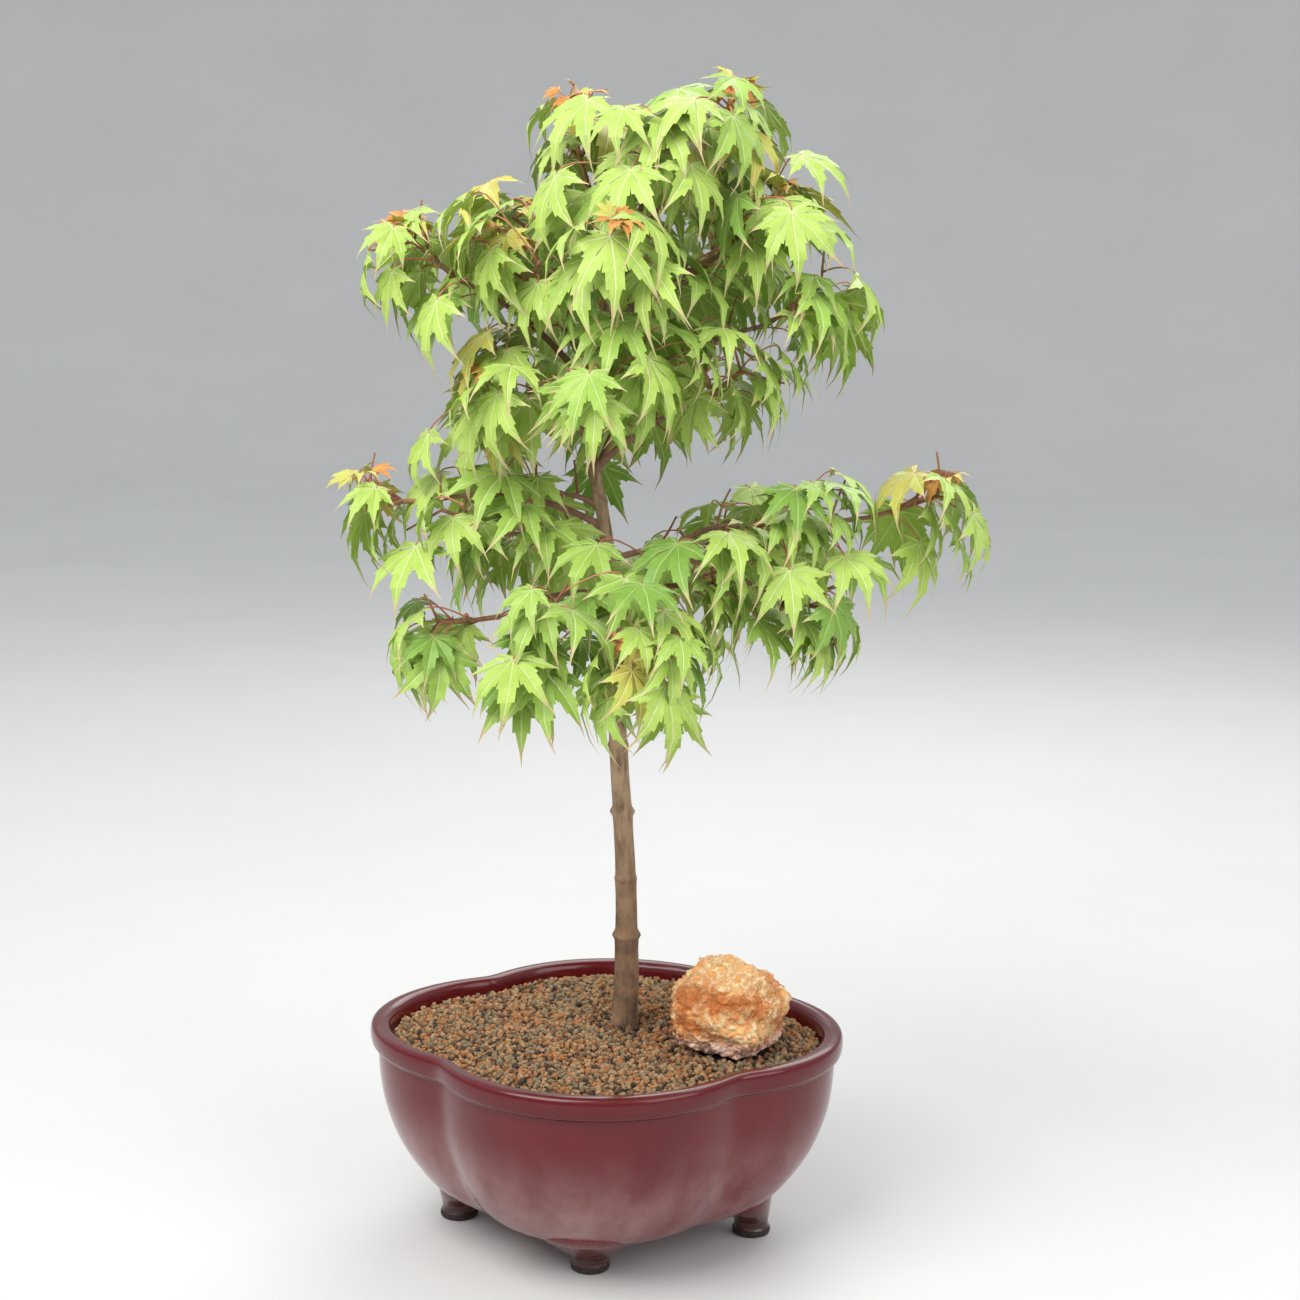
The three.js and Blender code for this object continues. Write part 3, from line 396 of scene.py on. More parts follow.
def foot_surface(x, y, turn):
    """A foot: an oval whose half width, half depth and lean follow a profile from pad to shoulder."""
    wide, deep, height, lean = smooth_through(FOOT_PROFILE, FOOT_FINENESS).T[:, :, None]
    angle = around(FOOT_STEPS)[None]
    across, along = wide * np.cos(angle), deep * np.sin(angle)
    c, s = math.cos(math.radians(turn)), math.sin(math.radians(turn))
    out_x, out_y = np.sign(x) * SIDE_LEAN, np.sign(y) * FRONT_LEAN
    x_places = x + c * across - s * along + out_x * lean
    y_places = y + s * across + c * along + out_y * lean
    return np.stack([x_places, y_places, height + 0 * across], -1)


profile = smooth_through(POT_PROFILE, PROFILE_FINENESS)
angle = around(POT_STEPS)
share = profile[1:-1, 0, None] * lobed(angle)[None]
wall = oval(share, angle, profile[1:-1, 1, None])
outward = np.stack([np.cos(angle), np.sin(angle), 0 * angle], -1)
wall += outward * (UNEVEN_DEPTH * (lumps(wall, UNEVEN_SIZE, seed=5) - 1))[..., None]
poles = np.array([[0, 0, profile[0, 1]], [0, 0, profile[-1, 1]]])
rows = len(wall)
ring, next_ring = np.arange(POT_STEPS), (np.arange(POT_STEPS) + 1) % POT_STEPS
top_start, bottom_pole, top_pole = (rows - 1) * POT_STEPS, rows * POT_STEPS, rows * POT_STEPS + 1
pot_fans = [
    np.stack([ring, np.full(POT_STEPS, bottom_pole), next_ring], -1),
    np.stack([top_start + ring, top_start + next_ring, np.full(POT_STEPS, top_pole)], -1),
]
pot_piece = make_piece(
    "pot_glazed",
    "glazed_ceramic",
    np.vstack([wall.reshape(-1, 3), poles]),
    [wrapped_quads(rows, POT_STEPS), *pot_fans],
    [glaze()],
)
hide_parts("pot")

feet = np.stack([foot_surface(*place) for place in FOOT_PLACES])
foot_points, foot_faces = joined_tubes(feet)
bare = np.concatenate([foot_points[faces, 2].mean(1) < PAD_HEIGHT for faces in foot_faces])
make_piece("pot_feet", "glazed_ceramic", foot_points, foot_faces, [foot_glaze(), bare_clay()], bare)


# ------------------------------------------------------------------------------------------
# Soil
# Baked clay grains two to four millimetres across, tan, ochre, grey and brown, poured to just under
# the rim over a near-black bed that is painted shade for the gaps between them. Round the trunk's
# foot more grains are brown and dark, a painted contact shadow on soil that is damp there. They have
# sunk a little along the wall and round the trunk.
# ------------------------------------------------------------------------------------------

SOIL_LEVEL = 110.0
SOIL_EDGE_DROP = 3.4
BED_DEPTH = 1.9  # of the bed under the tops of the grains
BED_SHARE = 0.908
BED_ROWS, BED_STEPS = 60, 180
GRAIN_SPACING = 3.05
LINE_SPACING = 0.866 * GRAIN_SPACING  # of lines whose grains lie in each other's gaps
GRAIN_JITTER = 0.36  # of their spacing
UPPER_GRAINS = 0.62  # share of the upper layer's places that hold a grain
GRAIN_RADIUS = (1.25, 1.95)
TRUNK_FOOT_PLACE = np.array([8.4, 13.0])
TRUNK_HOLLOW, HOLLOW_DEPTH = 9.0, 0.9
TRUNK_ROOM, STONE_ROOM = 8.2, 0.72  # bare of grains: millimetres, and share of the stone
SWELL_HEIGHT, SWELL_SIZE = 0.7, 24.0
WALL_ROOM = 0.985  # share of the way to the wall that grains fill
GRAIN_DEPTHS = (0.9, 2.3)  # of the middles of the upper and lower layer, under the soil's level
PATCHINESS = 1.1  # of grains of like colour
# painted contact shadow: more dark grains round the trunk's foot, where the soil is also damp
DAMP_SHADE_RING, DAMP_AND_SHADE = 15.0, 12
STONE_PLACE = np.array([66.6, -13.0])
STONE_SIZE = np.array([30.5, 31.0, 46.0])  # half width, half depth, height
GRAIN_COLORS = {  # colour, its spots, share of the grains
    "grain_tan": ((0.47, 0.28, 0.135, 1), (0.33, 0.195, 0.09, 1), 0.34),
    "grain_ochre": ((0.45, 0.19, 0.065, 1), (0.33, 0.135, 0.045, 1), 0.22),
    "grain_grey": ((0.29, 0.215, 0.12, 1), (0.20, 0.15, 0.08, 1), 0.2),
    "grain_brown": ((0.24, 0.12, 0.055, 1), (0.15, 0.075, 0.036, 1), 0.17),
    "grain_dark": ((0.075, 0.05, 0.032, 1), (0.04, 0.028, 0.02, 1), 0.07),
}


def soil_height(places):
    """The soil's level: flat, with a fall towards the wall that grows as the sixth power of the
    share of the way there, a shallow hollow round the trunk, and low swells."""
    x, y = places[..., 0], places[..., 1]
    direction = np.arctan2(y / POT_HALF_DEPTH, x / POT_HALF_WIDTH)
    share = np.hypot(x / POT_HALF_WIDTH, y / POT_HALF_DEPTH) / lobed(direction) / BED_SHARE
    from_trunk = np.linalg.norm(places[..., :2] - TRUNK_FOOT_PLACE, axis=-1)
    hollow = HOLLOW_DEPTH * np.exp(-((from_trunk / TRUNK_HOLLOW) ** 2))
    flat = np.concatenate([places[..., :2], 0 * places[..., :1]], -1)
    swells = SWELL_HEIGHT * lumps(flat, SWELL_SIZE, seed=11)
    return SOIL_LEVEL - SOIL_EDGE_DROP * share**6 - hollow + swells, share


def grain_material(name, base, spots):
    """Dry porous clay of one colour with fine spots of another."""
    return simple_finish(name, 0.92, base, spots, 900, 0.12, depth=0.25)


def icosahedron():
    """Twelve corners on three golden rectangles, and the twenty triangles between close corners."""
    golden = (1 + 5**0.5) / 2
    corners = np.array([(s, t * golden, 0) for s in (-1, 1) for t in (-1, 1)], float)
    points = np.vstack([corners, corners[:, [2, 0, 1]], corners[:, [1, 2, 0]]])
    points /= np.linalg.norm(points[0])
    apart = np.linalg.norm(points[:, None] - points[None], axis=-1)
    close = (apart > 0) & (apart < 1.1)
    faces = []
    for a, b, c in combinations(range(len(points)), 3):
        if close[a, b] and close[b, c] and close[a, c]:
            outwards = np.dot(np.cross(points[b] - points[a], points[c] - points[a]), points[a]) > 0
            faces.append((a, b, c) if outwards else (a, c, b))
    return points, np.array(faces)


bed_share = np.linspace(BED_SHARE, 0.004, BED_ROWS)[:, None]
bed_angle = around(BED_STEPS)[None]
bed_radius = bed_share * lobed(bed_angle)
bed = oval(bed_radius, bed_angle, 0)
bed[..., 2] = soil_height(bed)[0] - BED_DEPTH + 0.5 * lumps(bed, 3.0, seed=3)
bed_middle = BED_ROWS * BED_STEPS
last_ring = (BED_ROWS - 1) * BED_STEPS + np.arange(BED_STEPS)
soil_bed = make_piece(
    "soil_bed",
    "soil",
    np.vstack([bed.reshape(-1, 3), bed[-1].mean(0)]),
    [
        wrapped_quads(BED_ROWS, BED_STEPS),
        np.stack([last_ring, np.roll(last_ring, -1), np.full(BED_STEPS, bed_middle)], -1),
    ],
    # painted shade: the near-black bed stands for the shade in the gaps between the grains
    [grain_material("gap_shade_bed", (0.028, 0.02, 0.014, 1), (0.012, 0.009, 0.007, 1))],
)
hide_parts("soil")

dice = np.random.default_rng(41)
columns = int(2 * POT_HALF_WIDTH / GRAIN_SPACING)
lines = int(2 * POT_HALF_DEPTH / LINE_SPACING)
line, column, layer = np.meshgrid(np.arange(lines), np.arange(columns), np.arange(2), indexing="ij")
grain_places = np.stack(
    [
        (column + 0.5 * (line % 2) + 0.5 * layer) * GRAIN_SPACING - POT_HALF_WIDTH,
        (line + 0.35 * layer) * LINE_SPACING - POT_HALF_DEPTH,
        layer,
    ],
    -1,
).reshape(-1, 3)
grain_places[:, :2] += dice.uniform(-GRAIN_JITTER, GRAIN_JITTER, (len(grain_places), 2)) * GRAIN_SPACING
upper = grain_places[:, 2] > 0
level, grain_share = soil_height(grain_places)
from_trunk = np.linalg.norm(grain_places[:, :2] - TRUNK_FOOT_PLACE, axis=1)
from_stone = np.linalg.norm((grain_places[:, :2] - STONE_PLACE) / STONE_SIZE[:2], axis=1)
kept = ~upper | (dice.random(len(upper)) < UPPER_GRAINS)
kept &= (grain_share < WALL_ROOM) & (from_trunk > TRUNK_ROOM) & (from_stone > STONE_ROOM)
grain_places, upper, level = grain_places[kept], upper[kept], level[kept]
count = len(grain_places)
radius = dice.uniform(*GRAIN_RADIUS, (count, 1)) * dice.uniform(0.78, 1.15, (count, 3))
ball, ball_faces = icosahedron()
turns = np.linalg.qr(dice.normal(size=(count, 3, 3)))[0]
turns *= np.sign(np.linalg.det(turns))[:, None, None]
knobbly = ball[None] * dice.uniform(0.84, 1.12, (count, len(ball), 1))
grains = np.einsum("nij,nvj->nvi", turns, knobbly * radius[:, None])
grain_places[:, 2] = level - np.where(upper, *GRAIN_DEPTHS) + dice.uniform(-0.35, 0.35, count)
grains += grain_places[:, None]
names = list(GRAIN_COLORS)
patches = lumps(np.c_[grain_places[:, :2], 0 * level], 16.0, seed=7)
chances = np.array([GRAIN_COLORS[name][2] for name in names])[None] * np.ones((count, 1))
chances[:, 1] *= np.exp(PATCHINESS * patches)
chances[:, 2] *= np.exp(-PATCHINESS * patches)
# painted contact shadow round the trunk's foot, on soil damp there: more brown and dark grains
chances[:, 3:] *= 1 + DAMP_AND_SHADE * np.exp(-((from_trunk[kept, None] / DAMP_SHADE_RING) ** 4))
chances = np.cumsum(chances / chances.sum(1, keepdims=True), 1)
grain_kind = (dice.random((count, 1)) > chances).sum(1).clip(0, len(names) - 1)
make_piece(
    "soil_grains",
    "soil",
    grains,
    [(ball_faces[None] + len(ball) * np.arange(count)[:, None, None]).reshape(-1, 3)],
    [grain_material(name, *GRAIN_COLORS[name][:2]) for name in names],
    np.repeat(grain_kind, len(ball_faces)),
    smooth=False,
)


# ------------------------------------------------------------------------------------------
# Stone
# A rough lump of soft ochre rock, orange where iron has stained it and pinkish white where it
# broke, set on the soil beside the trunk.
# ------------------------------------------------------------------------------------------

STONE_MIDDLE = 0.7  # from its flat underside to its middle, where its top is 1 above that
STONE_FULLNESS = 0.86  # power of a round lump's coordinates, below 1 for fuller shoulders
STONE_FLAT = 0.05  # share of its height in which its underside is pressed flat
STONE_SUNK = 1.2  # into the grains
STONE_ROWS, STONE_STEPS = 150, 260


def stone_surface():
    """A ball drawn to the stone's three sizes, with a roughness of broad humps, knobs and pits, and
    its underside pressed flat."""
    polar = np.linspace(0.012, math.pi - 0.012, STONE_ROWS)[::-1, None]
    turn = around(STONE_STEPS)[None]
    level = np.sin(polar)
    ball = np.stack([level * np.cos(turn), level * np.sin(turn), np.cos(polar) + 0 * turn], -1)
    full = np.sign(ball) * np.abs(ball) ** STONE_FULLNESS
    x, y, z = np.moveaxis(full, -1, 0)
    rough = (
        0.94
        + 0.05 * np.sin(5.1 * x + 2.3 * y + 1.2)
        + 0.045 * np.sin(6.7 * y - 3.1 * z + 0.4)
        + 0.035 * np.sin(9.3 * z + 4.2 * x + 2.1)
    )
    knobs = 0.06 * lumps(ball, 0.26, seed=21) + 0.075 * np.abs(lumps(ball, 0.15, seed=22)) - 0.05
    knobs += 0.04 * np.abs(lumps(ball, 0.07, seed=24)) + 0.02 * lumps(ball, 0.032, seed=23)
    rough = rough + knobs
    raised = (z * rough + STONE_MIDDLE) / (1 + STONE_MIDDLE)
    raised = np.where(raised > STONE_FLAT, raised, STONE_FLAT * np.exp(raised / STONE_FLAT - 1))
    places = full[..., :2] * rough[..., None] * STONE_SIZE[:2] + STONE_PLACE
    heights = SOIL_LEVEL - STONE_SUNK + (STONE_SIZE[2] + STONE_SUNK) * raised
    return np.concatenate([places, heights[..., None]], -1)


def stone_material():
    """Ochre rock under a pale crust, rusty in patches, and pinkish white where it broke below."""
    made = Finish("ochre_stone", 0.88)
    warm, _ = made.mottle((0.92, 0.35, 0.09, 1), (0.94, 0.52, 0.19, 1), 85, 0.14)
    crust, _ = made.mottle(warm, (0.97, 0.72, 0.40, 1), 260, 0.1)
    rusty, _ = made.mottle(crust, (0.62, 0.20, 0.05, 1), 46, 0.07)
    rusty = made.mixed(made.by_height(SOIL_LEVEL + 30, SOIL_LEVEL + 46), rusty, crust)
    pale, _ = made.mottle((0.95, 0.70, 0.58, 1), (0.90, 0.50, 0.34, 1), 160, 0.1)
    _, frayed = made.mottle((0, 0, 0, 1), (1, 1, 1, 1), 260, 0.12)
    made.color(made.mixed(made.by_height(SOIL_LEVEL + 12, SOIL_LEVEL + 4), rusty, pale))
    made.bump(frayed, 1.0)
    return made.material


stone_piece = make_piece("stone_rough", "stone", *joined_tubes([stone_surface()]), [stone_material()])
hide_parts("stone")


# ------------------------------------------------------------------------------------------
# Trunk
# A young stem, thin and slightly bent, with a small root flare. Its grey brown bark is smooth with
# fine cracks, and stands out in a ring with two bud scars wherever a pair of leaves once grew.
# ------------------------------------------------------------------------------------------

TRUNK = np.array(
    [  # height, lean in x and y, diameter
        (110.3, 8.4, 13.0, 18.5),
        (116, 8.6, 13.0, 14.6),
        (140, 9.3, 13.1, 13.0),
        (200, 7.8, 12.9, 10.8),
        (257, 4.0, 12.5, 9.8),
        (310, 1.0, 12.2, 8.8),
        (354, -1.1, 12.0, 7.4),
        (385, -5.6, 11.5, 6.8),
        (424, -12.8, 10.7, 5.8),
        (462, -11.0, 9.0, 4.9),
        (500, -1.0, 7.0, 4.0),
        (540, 13.0, 5.0, 3.0),
    ]
)
TRUNK_TOP = TRUNK[-1, 0]
NODE_HEIGHTS = [158, 190, 226]
UPPER_NODES = [262, 297, 330, 362, 392, 420, 446, 472, 498, 520]
TRUNK_SUNK = 4.0
TRUNK_STEP = 0.9
TRUNK_SIDES = 56
ROOTS_SUNK = 0.2  # share of the flare's width that the soil covers
FLARE_HEIGHT, FLARE_RIDGES = 5.0, 0.35
SCAR_REACH = 3  # of a leaf scar, up and down
NODE_LIP, NODE_BUD = 0.55, 1.25  # how far a leaf scar's ring and its two buds stand out
LOW_BARK_END = 1.7  # the low bark's upper edge fades out at so many times its height


def trunk_at(height):
    """Place and radius of the trunk at heights: the cubic through its stations whose slope at a
    station is the slope between its two neighbours."""
    height = np.asarray(height, float)
    last = len(TRUNK) - 1
    i = np.clip(np.searchsorted(TRUNK[:, 0], height, side="left") - 1, 0, last - 1)
    span = TRUNK[i + 1, 0] - TRUNK[i, 0]
    t = np.clip((height - TRUNK[i, 0]) / span, 0, 1)[..., None]
    before, after = np.maximum(np.arange(last + 1) - 1, 0), np.minimum(np.arange(last + 1) + 1, last)
    slope = (TRUNK[after, 1:] - TRUNK[before, 1:]) / (TRUNK[after, 0] - TRUNK[before, 0])[:, None]
    leave, arrive = slope[i] * span[..., None], slope[i + 1] * span[..., None]
    made = cubic(t, TRUNK[i, 1:], leave, TRUNK[i + 1, 1:], arrive)
    return np.concatenate([made[..., :2], height[..., None]], -1), made[..., 2] / 2


def bark_relief(points):
    """Height of the bark in millimetres: long low ridges with finer ones on them, less the cracks,
    which are where a third set stands high."""
    stretched = points * np.array([1, 1, 0.12])
    ridges = 0.16 * lumps(stretched, 2.6, seed=31) + 0.1 * lumps(stretched, 1.1, seed=32)
    return ridges - 0.1 * np.maximum(0, lumps(points * np.array([1, 1, 0.2]), 1.5, seed=33) - 0.35)


def bark_material(name, base, spots, streak, low=None):
    """Streaked and blotched bark. Low is the colour and the height that it has near the ground."""
    made = Finish(name, 0.82)
    streaked, mask = made.mottle(base, spots, 420, 0.16, (1, 1, 0.14))
    blotched, blotches = made.mottle(streaked, streak, 90, 0.16, (1, 1, 0.6))
    if low:
        color, height = low
        lighter = (*[1.5 * channel for channel in color[:3]], 1)
        dulled, _ = made.mottle(made.mottle(color, spots, 300, 0.14, (1, 1, 0.25))[0], lighter, 90, 0.14)
        blotched = made.mixed(made.by_height(LOW_BARK_END * height, height), blotched, dulled)
    made.color(blotched)
    made.rough(blotches, 0.72, 0.9)
    made.bump(mask, 0.35)
    return made.material


trunk_heights = np.arange(TRUNK[0, 0] - TRUNK_SUNK, TRUNK_TOP + 0.01, TRUNK_STEP)
trunk_middle, trunk_radius = trunk_at(np.maximum(trunk_heights, TRUNK[0, 0]))
trunk_middle[:, 2] = trunk_heights
turn = around(TRUNK_SIDES)
flare = np.exp(-np.maximum(trunk_heights - TRUNK[0, 0], 0) / FLARE_HEIGHT)
roots = 1.5 * np.cos(3 * turn + 0.6) + 1.0 * np.cos(5 * turn + 2.0)
width = trunk_radius[:, None] * (1 - ROOTS_SUNK * flare[:, None])
width = width + flare[:, None] * roots[None] * FLARE_RIDGES
for nodes, swell in ((NODE_HEIGHTS, 1.0), (UPPER_NODES, 0.5)):
    for number, node in enumerate(nodes):
        off = trunk_heights - node
        lip = np.exp(-((off / 1.5) ** 2)) + 0.35 * np.exp(-(((off + 3.2) / 2.4) ** 2))
        facing = 0.2 if number % 2 == 0 else 1.3
        scars = np.exp(8 * (np.abs(np.cos(turn - facing)) - 1))
        bud = np.exp(-(((off - 1.2) / 1.9) ** 2))
        width += swell * (NODE_LIP * lip[:, None] + NODE_BUD * bud[:, None] * scars[None])
outward = np.stack([np.cos(turn), np.sin(turn), 0 * turn], -1)
bark = trunk_middle[:, None] + outward[None] * width[..., None]
bark = bark + outward[None] * bark_relief(bark)[..., None]
LOW_BARK = ((0.185, 0.11, 0.06, 1), 150)  # its colour, and the height that it reaches
BARK = bark_material("bark", (0.40, 0.255, 0.15, 1), (0.12, 0.066, 0.04, 1), (0.52, 0.36, 0.22, 1), LOW_BARK)
trunk_piece = make_piece("trunk_bark", "bark", *joined_tubes([bark]), [BARK])
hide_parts("trunk")


# ------------------------------------------------------------------------------------------
# Boughs
# One tapering limb to each mass of leaves, of red brown bark, with a
# collar where it leaves and a ring at each old pair of leaves.
# ------------------------------------------------------------------------------------------

MASSES = [  # name, middle, reach, the limb that bears its bough, where, radius there, rise
    ("top_left", (-20, 8, 564), (46, 56, 42), "trunk", 500, 2.0, 2),
    ("top_middle", (24, -24, 548), (44, 50, 44), "trunk", 508, 2.0, 4),
    ("top_right", (54, 8, 570), (44, 52, 40), "trunk", 518, 2.0, 4),
    ("upper_left_outer", (-96, -8, 506), (38, 50, 42), "trunk", 450, 2.4, 16),
    ("upper_left", (-48, -24, 500), (50, 54, 52), "trunk", 456, 2.2, 8),
    ("upper_front", (8, -58, 496), (52, 54, 52), "trunk", 470, 2.2, 6),
    ("upper_right", (80, -6, 520), (54, 54, 50), "trunk", 478, 2.3, 6),
    ("right_shoulder", (101, -6, 482), (44, 52, 42), "trunk", 440, 2.4, 12),
    ("upper_back_left", (-54, 66, 508), (60, 54, 58), "trunk", 470, 2.2, 6),
    ("upper_back_right", (48, 72, 506), (62, 56, 58), "trunk", 462, 2.3, 8),
    ("middle_left", (-48, -28, 438), (52, 54, 46), "trunk", 424, 2.4, 6),
    ("middle_front", (20, -58, 450), (48, 52, 46), "trunk", 416, 2.4, 4),
    ("middle_right", (64, -16, 444), (50, 52, 46), "trunk", 408, 2.5, 8),
    ("middle_back", (4, 78, 434), (68, 54, 52), "trunk", 404, 2.5, 8),
    ("middle_left_low", (-54, 8, 394), (54, 54, 38), "trunk", 388, 2.3, 4),
    ("far_left", (-112, -8, 382), (33, 44, 42), "trunk", 378, 2.4, 18),
    ("low_left_upper", (-76, -16, 370), (42, 46, 42), "trunk", 360, 2.2, 8),
    ("low_left", (-78, -26, 314), (42, 46, 52), "trunk", 342, 2.4, 12),
    ("low_front_left", (-23, -58, 316), (44, 52, 62), "trunk", 330, 2.4, 14),
    ("low_front", (24, -64, 308), (48, 54, 56), "trunk", 322, 2.4, 14),
    ("low_front_right", (54, -32, 340), (50, 50, 50), "trunk", 346, 2.2, 6),
    ("low_right_far", (160, 8, 378), (46, 50, 50), "trunk", 354, 3.0, 8),
    ("low_right", (98, -14, 380), (54, 54, 46), "low_right_far", 0.22, 1.8, 12),
    ("low_right_bottom", (101, -20, 332), (40, 46, 42), "low_right_far", 0.26, 1.7, 2),
    ("low_back_left", (-54, 70, 348), (62, 56, 60), "trunk", 366, 2.5, 8),
    ("low_back_right", (54, 78, 342), (64, 56, 60), "trunk", 360, 2.5, 8),
]
SEAT_GAP = 0.3
BOUGH_STEP = 20
BOUGH_TIP_RADIUS = 1.4
BOUGH_ENTRY = 0.6
BOUGH_BEND = 0.45
STEM_LIFT = 0.32
UP = np.array([0.0, 0.0, 1.0])
BOUGH_FINENESS = 2.0
BOUGH_SIDES = 16
BOUGH_SLIMNESS = 0.8  # of a limb's bark, as the rings and the collar stand out of it
RING_EVERY, FIRST_RING = 21.0, 6.0
RING_SWELL, RING_WIDTH = 0.32, 1.1
COLLAR, COLLAR_LENGTH = 0.8, 2.6
LIMB_RADIUS = 2.2  # of the long bough where others leave it
GRAIN_HEIGHT, GRAIN_SIZE = 0.1, 1.6  # of the bark


def unit(vectors):
    """Vectors of the same directions and of length 1."""
    return vectors / np.linalg.norm(vectors, axis=-1, keepdims=True)


def crest_of(space):
    """The place above a mass's middle that its bough aims at."""
    return space["middle"] + UP * STEM_LIFT * space["reach"][2]


def bough_curve(space, paths, shares):
    """Points at shares of a bough: a quadratic curve from its parent's axis to the border of its
    mass, lifted at its bend by its rise."""
    if space["parent"] == "trunk":
        start = trunk_at(space["at"])[0]
    else:
        parent = paths[space["parent"]]
        place = space["at"] * (len(parent) - 1)
        i = min(len(parent) - 2, int(place))
        start = parent[i] + (parent[i + 1] - parent[i]) * (place - i)
    crest = crest_of(space)
    back = unit(start - crest)
    tip = crest + back * BOUGH_ENTRY / np.linalg.norm(back / space["reach"])
    bend = start + (tip - start) * BOUGH_BEND + UP * space["rise"]
    if shares is None:
        steps = max(3, int(math.floor(np.linalg.norm(tip - start) / BOUGH_STEP + 0.5)))
        shares = np.arange(steps + 1) / steps
    t = np.asarray(shares)[:, None]
    return (1 - t) ** 2 * start + 2 * (1 - t) * t * bend + t**2 * tip


def tube_points(paths, radii, sides):
    """Rings round paths, shaped (..., points, sides, 3). A ring lies square to the path, and starts
    on the side of the direction, of x, y and z, that the path as a whole follows least."""
    along = unit(np.gradient(paths, axis=-2))
    chord = paths[..., -1, :] - paths[..., 0, :]
    least = np.eye(3)[np.abs(chord).argmin(-1)][..., None, :]
    across = unit(least - along * (least * along).sum(-1, keepdims=True))
    other = np.cross(along, across)
    turn = around(sides)[:, None]
    ring = across[..., None, :] * np.cos(turn) + other[..., None, :] * np.sin(turn)
    return paths[..., None, :] + ring * radii[..., None, None]


spaces = [
    dict(name=n, middle=np.array(m, float), reach=np.array(r, float), parent=p, at=a, radius=b, rise=h)
    for n, m, r, p, a, b, h in MASSES
]
bough_paths, bough_skins = {}, []
for space in spaces:
    path = bough_curve(space, bough_paths, None)
    bough_paths[space["name"]] = path
    length = np.linalg.norm(np.diff(path, axis=0), axis=1).sum()
    shares = np.linspace(0, 1, max(8, int(length / BOUGH_FINENESS)))
    fine = bough_curve(space, bough_paths, shares)
    parent_radius = trunk_at(space["at"])[1] if space["parent"] == "trunk" else LIMB_RADIUS
    out = shares * length - parent_radius
    thick = BOUGH_SLIMNESS * (space["radius"] + (BOUGH_TIP_RADIUS - space["radius"]) * shares)
    thick = thick + COLLAR * np.exp(-np.maximum(out, 0) / COLLAR_LENGTH) * (space["parent"] == "trunk")
    to_ring = (out + 0.5 * RING_EVERY) % RING_EVERY - 0.5 * RING_EVERY
    thick = thick + RING_SWELL * np.exp(-((to_ring / RING_WIDTH) ** 2)) * (out > FIRST_RING)
    skin = tube_points(fine, thick, BOUGH_SIDES)
    skin = skin + unit(skin - fine[:, None]) * (GRAIN_HEIGHT * lumps(skin, GRAIN_SIZE, seed=51))[..., None]
    bough_skins.append(skin)
YOUNG_BARK = bark_material("young_bark", (0.30, 0.15, 0.1, 1), (0.20, 0.10, 0.07, 1), (0.36, 0.21, 0.13, 1))
bough_piece = make_piece("boughs_bark", "bark", *joined_tubes(bough_skins), [YOUNG_BARK])
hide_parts(*["bough_" + space["name"] for space in spaces])


# ------------------------------------------------------------------------------------------
# Twigs
# Thin red brown shoots that carry on from each bough's tip: a stem with a pair of side twigs at its
# first node, and a finer pair at each node after it, all inside the space of their mass.
# ------------------------------------------------------------------------------------------

FIRST_SEED = 54
SEED_STEP = 7919  # from one mass to the next
SPACE_MARGIN = 0.25  # between a mass and its border
LIMB_CLEARANCE = 1.2
BEAD_STEP = 3  # between the points that stand for a limb
BEADS_WITHIN = 140  # of a mass's middle
TWIG_SPACE = 0.96  # how much of a mass's reach its twigs take up, to the fourth power
TWIG_TIP_RADIUS = 1.05
SIDE_TWIG_RADIUS = 1.3
INTERNODE = 17
STEM_INTERNODE = (0.85, 1.15)  # shares of an internode
SIDE_INTERNODE = (0.7, 1.05)
STEM_PAST = 0.35  # share of its way that a stem aims past its mass's crest
STEM_TURN = (0.35, 0.7)  # share of the turn towards there, at the first node and later
STEM_WAVER = np.array([0.16, 0.16, 0.12])
STEM_RISE = 0.1
PAIR_TURN = 12  # degrees round the stem
PAIR_FORWARD = 0.5
PAIR_RISE = 0.12
PAIR_WAVER = 0.2
LONG_TWIGS = 0.6  # share of side twigs that have two internodes
BUD_BACK = 1.6  # from a node back to its buds
FINE_SEED = 500009  # added to a mass's seed for its finer twigs and leaves
FINE_TURN = 62  # degrees round the limb, at every other node
FINE_RADII = (0.75, 0.5)
FINE_SIZE = 0.75  # of a finer twig's internodes
TWIG_SIDES = 8
TWIG_ROWS = 6  # rings in each internode
TWIG_SWELL = 0.16
TRUNK_RING_EVERY, LOW_RING = 16, 112  # along the trunk, of the rings that its beads follow


class Stream:
    """A seeded stream of numbers from 0 to 1: a counter in steps of 0x6d2b79f5, mixed by shifts and
    products of 32 bits."""

    def __init__(self, seed):
        self.seed, self.taken = seed, 0

    def take(self, count):
        """The next numbers of the stream, as an array."""
        order = np.arange(self.taken + 1, self.taken + count + 1, dtype=np.uint64)
        self.taken += count
        whole = np.uint64(0xFFFFFFFF)
        t = (np.uint64(self.seed) + order * np.uint64(0x6D2B79F5)) & whole
        t = ((t ^ (t >> np.uint64(15))) * (t | np.uint64(1))) & whole
        t = t ^ ((t + (((t ^ (t >> np.uint64(7))) * (t | np.uint64(61))) & whole)) & whole)
        return (t ^ (t >> np.uint64(14))) / 4294967296.0

    def next(self):
        """The next number."""
        return float(self.take(1)[0])

    def signed(self):
        """The next number, spread from -1 to 1."""
        return 2 * self.next() - 1

    def between(self, low, high):
        """The next number, spread from low to high."""
        return low + (high - low) * self.next()


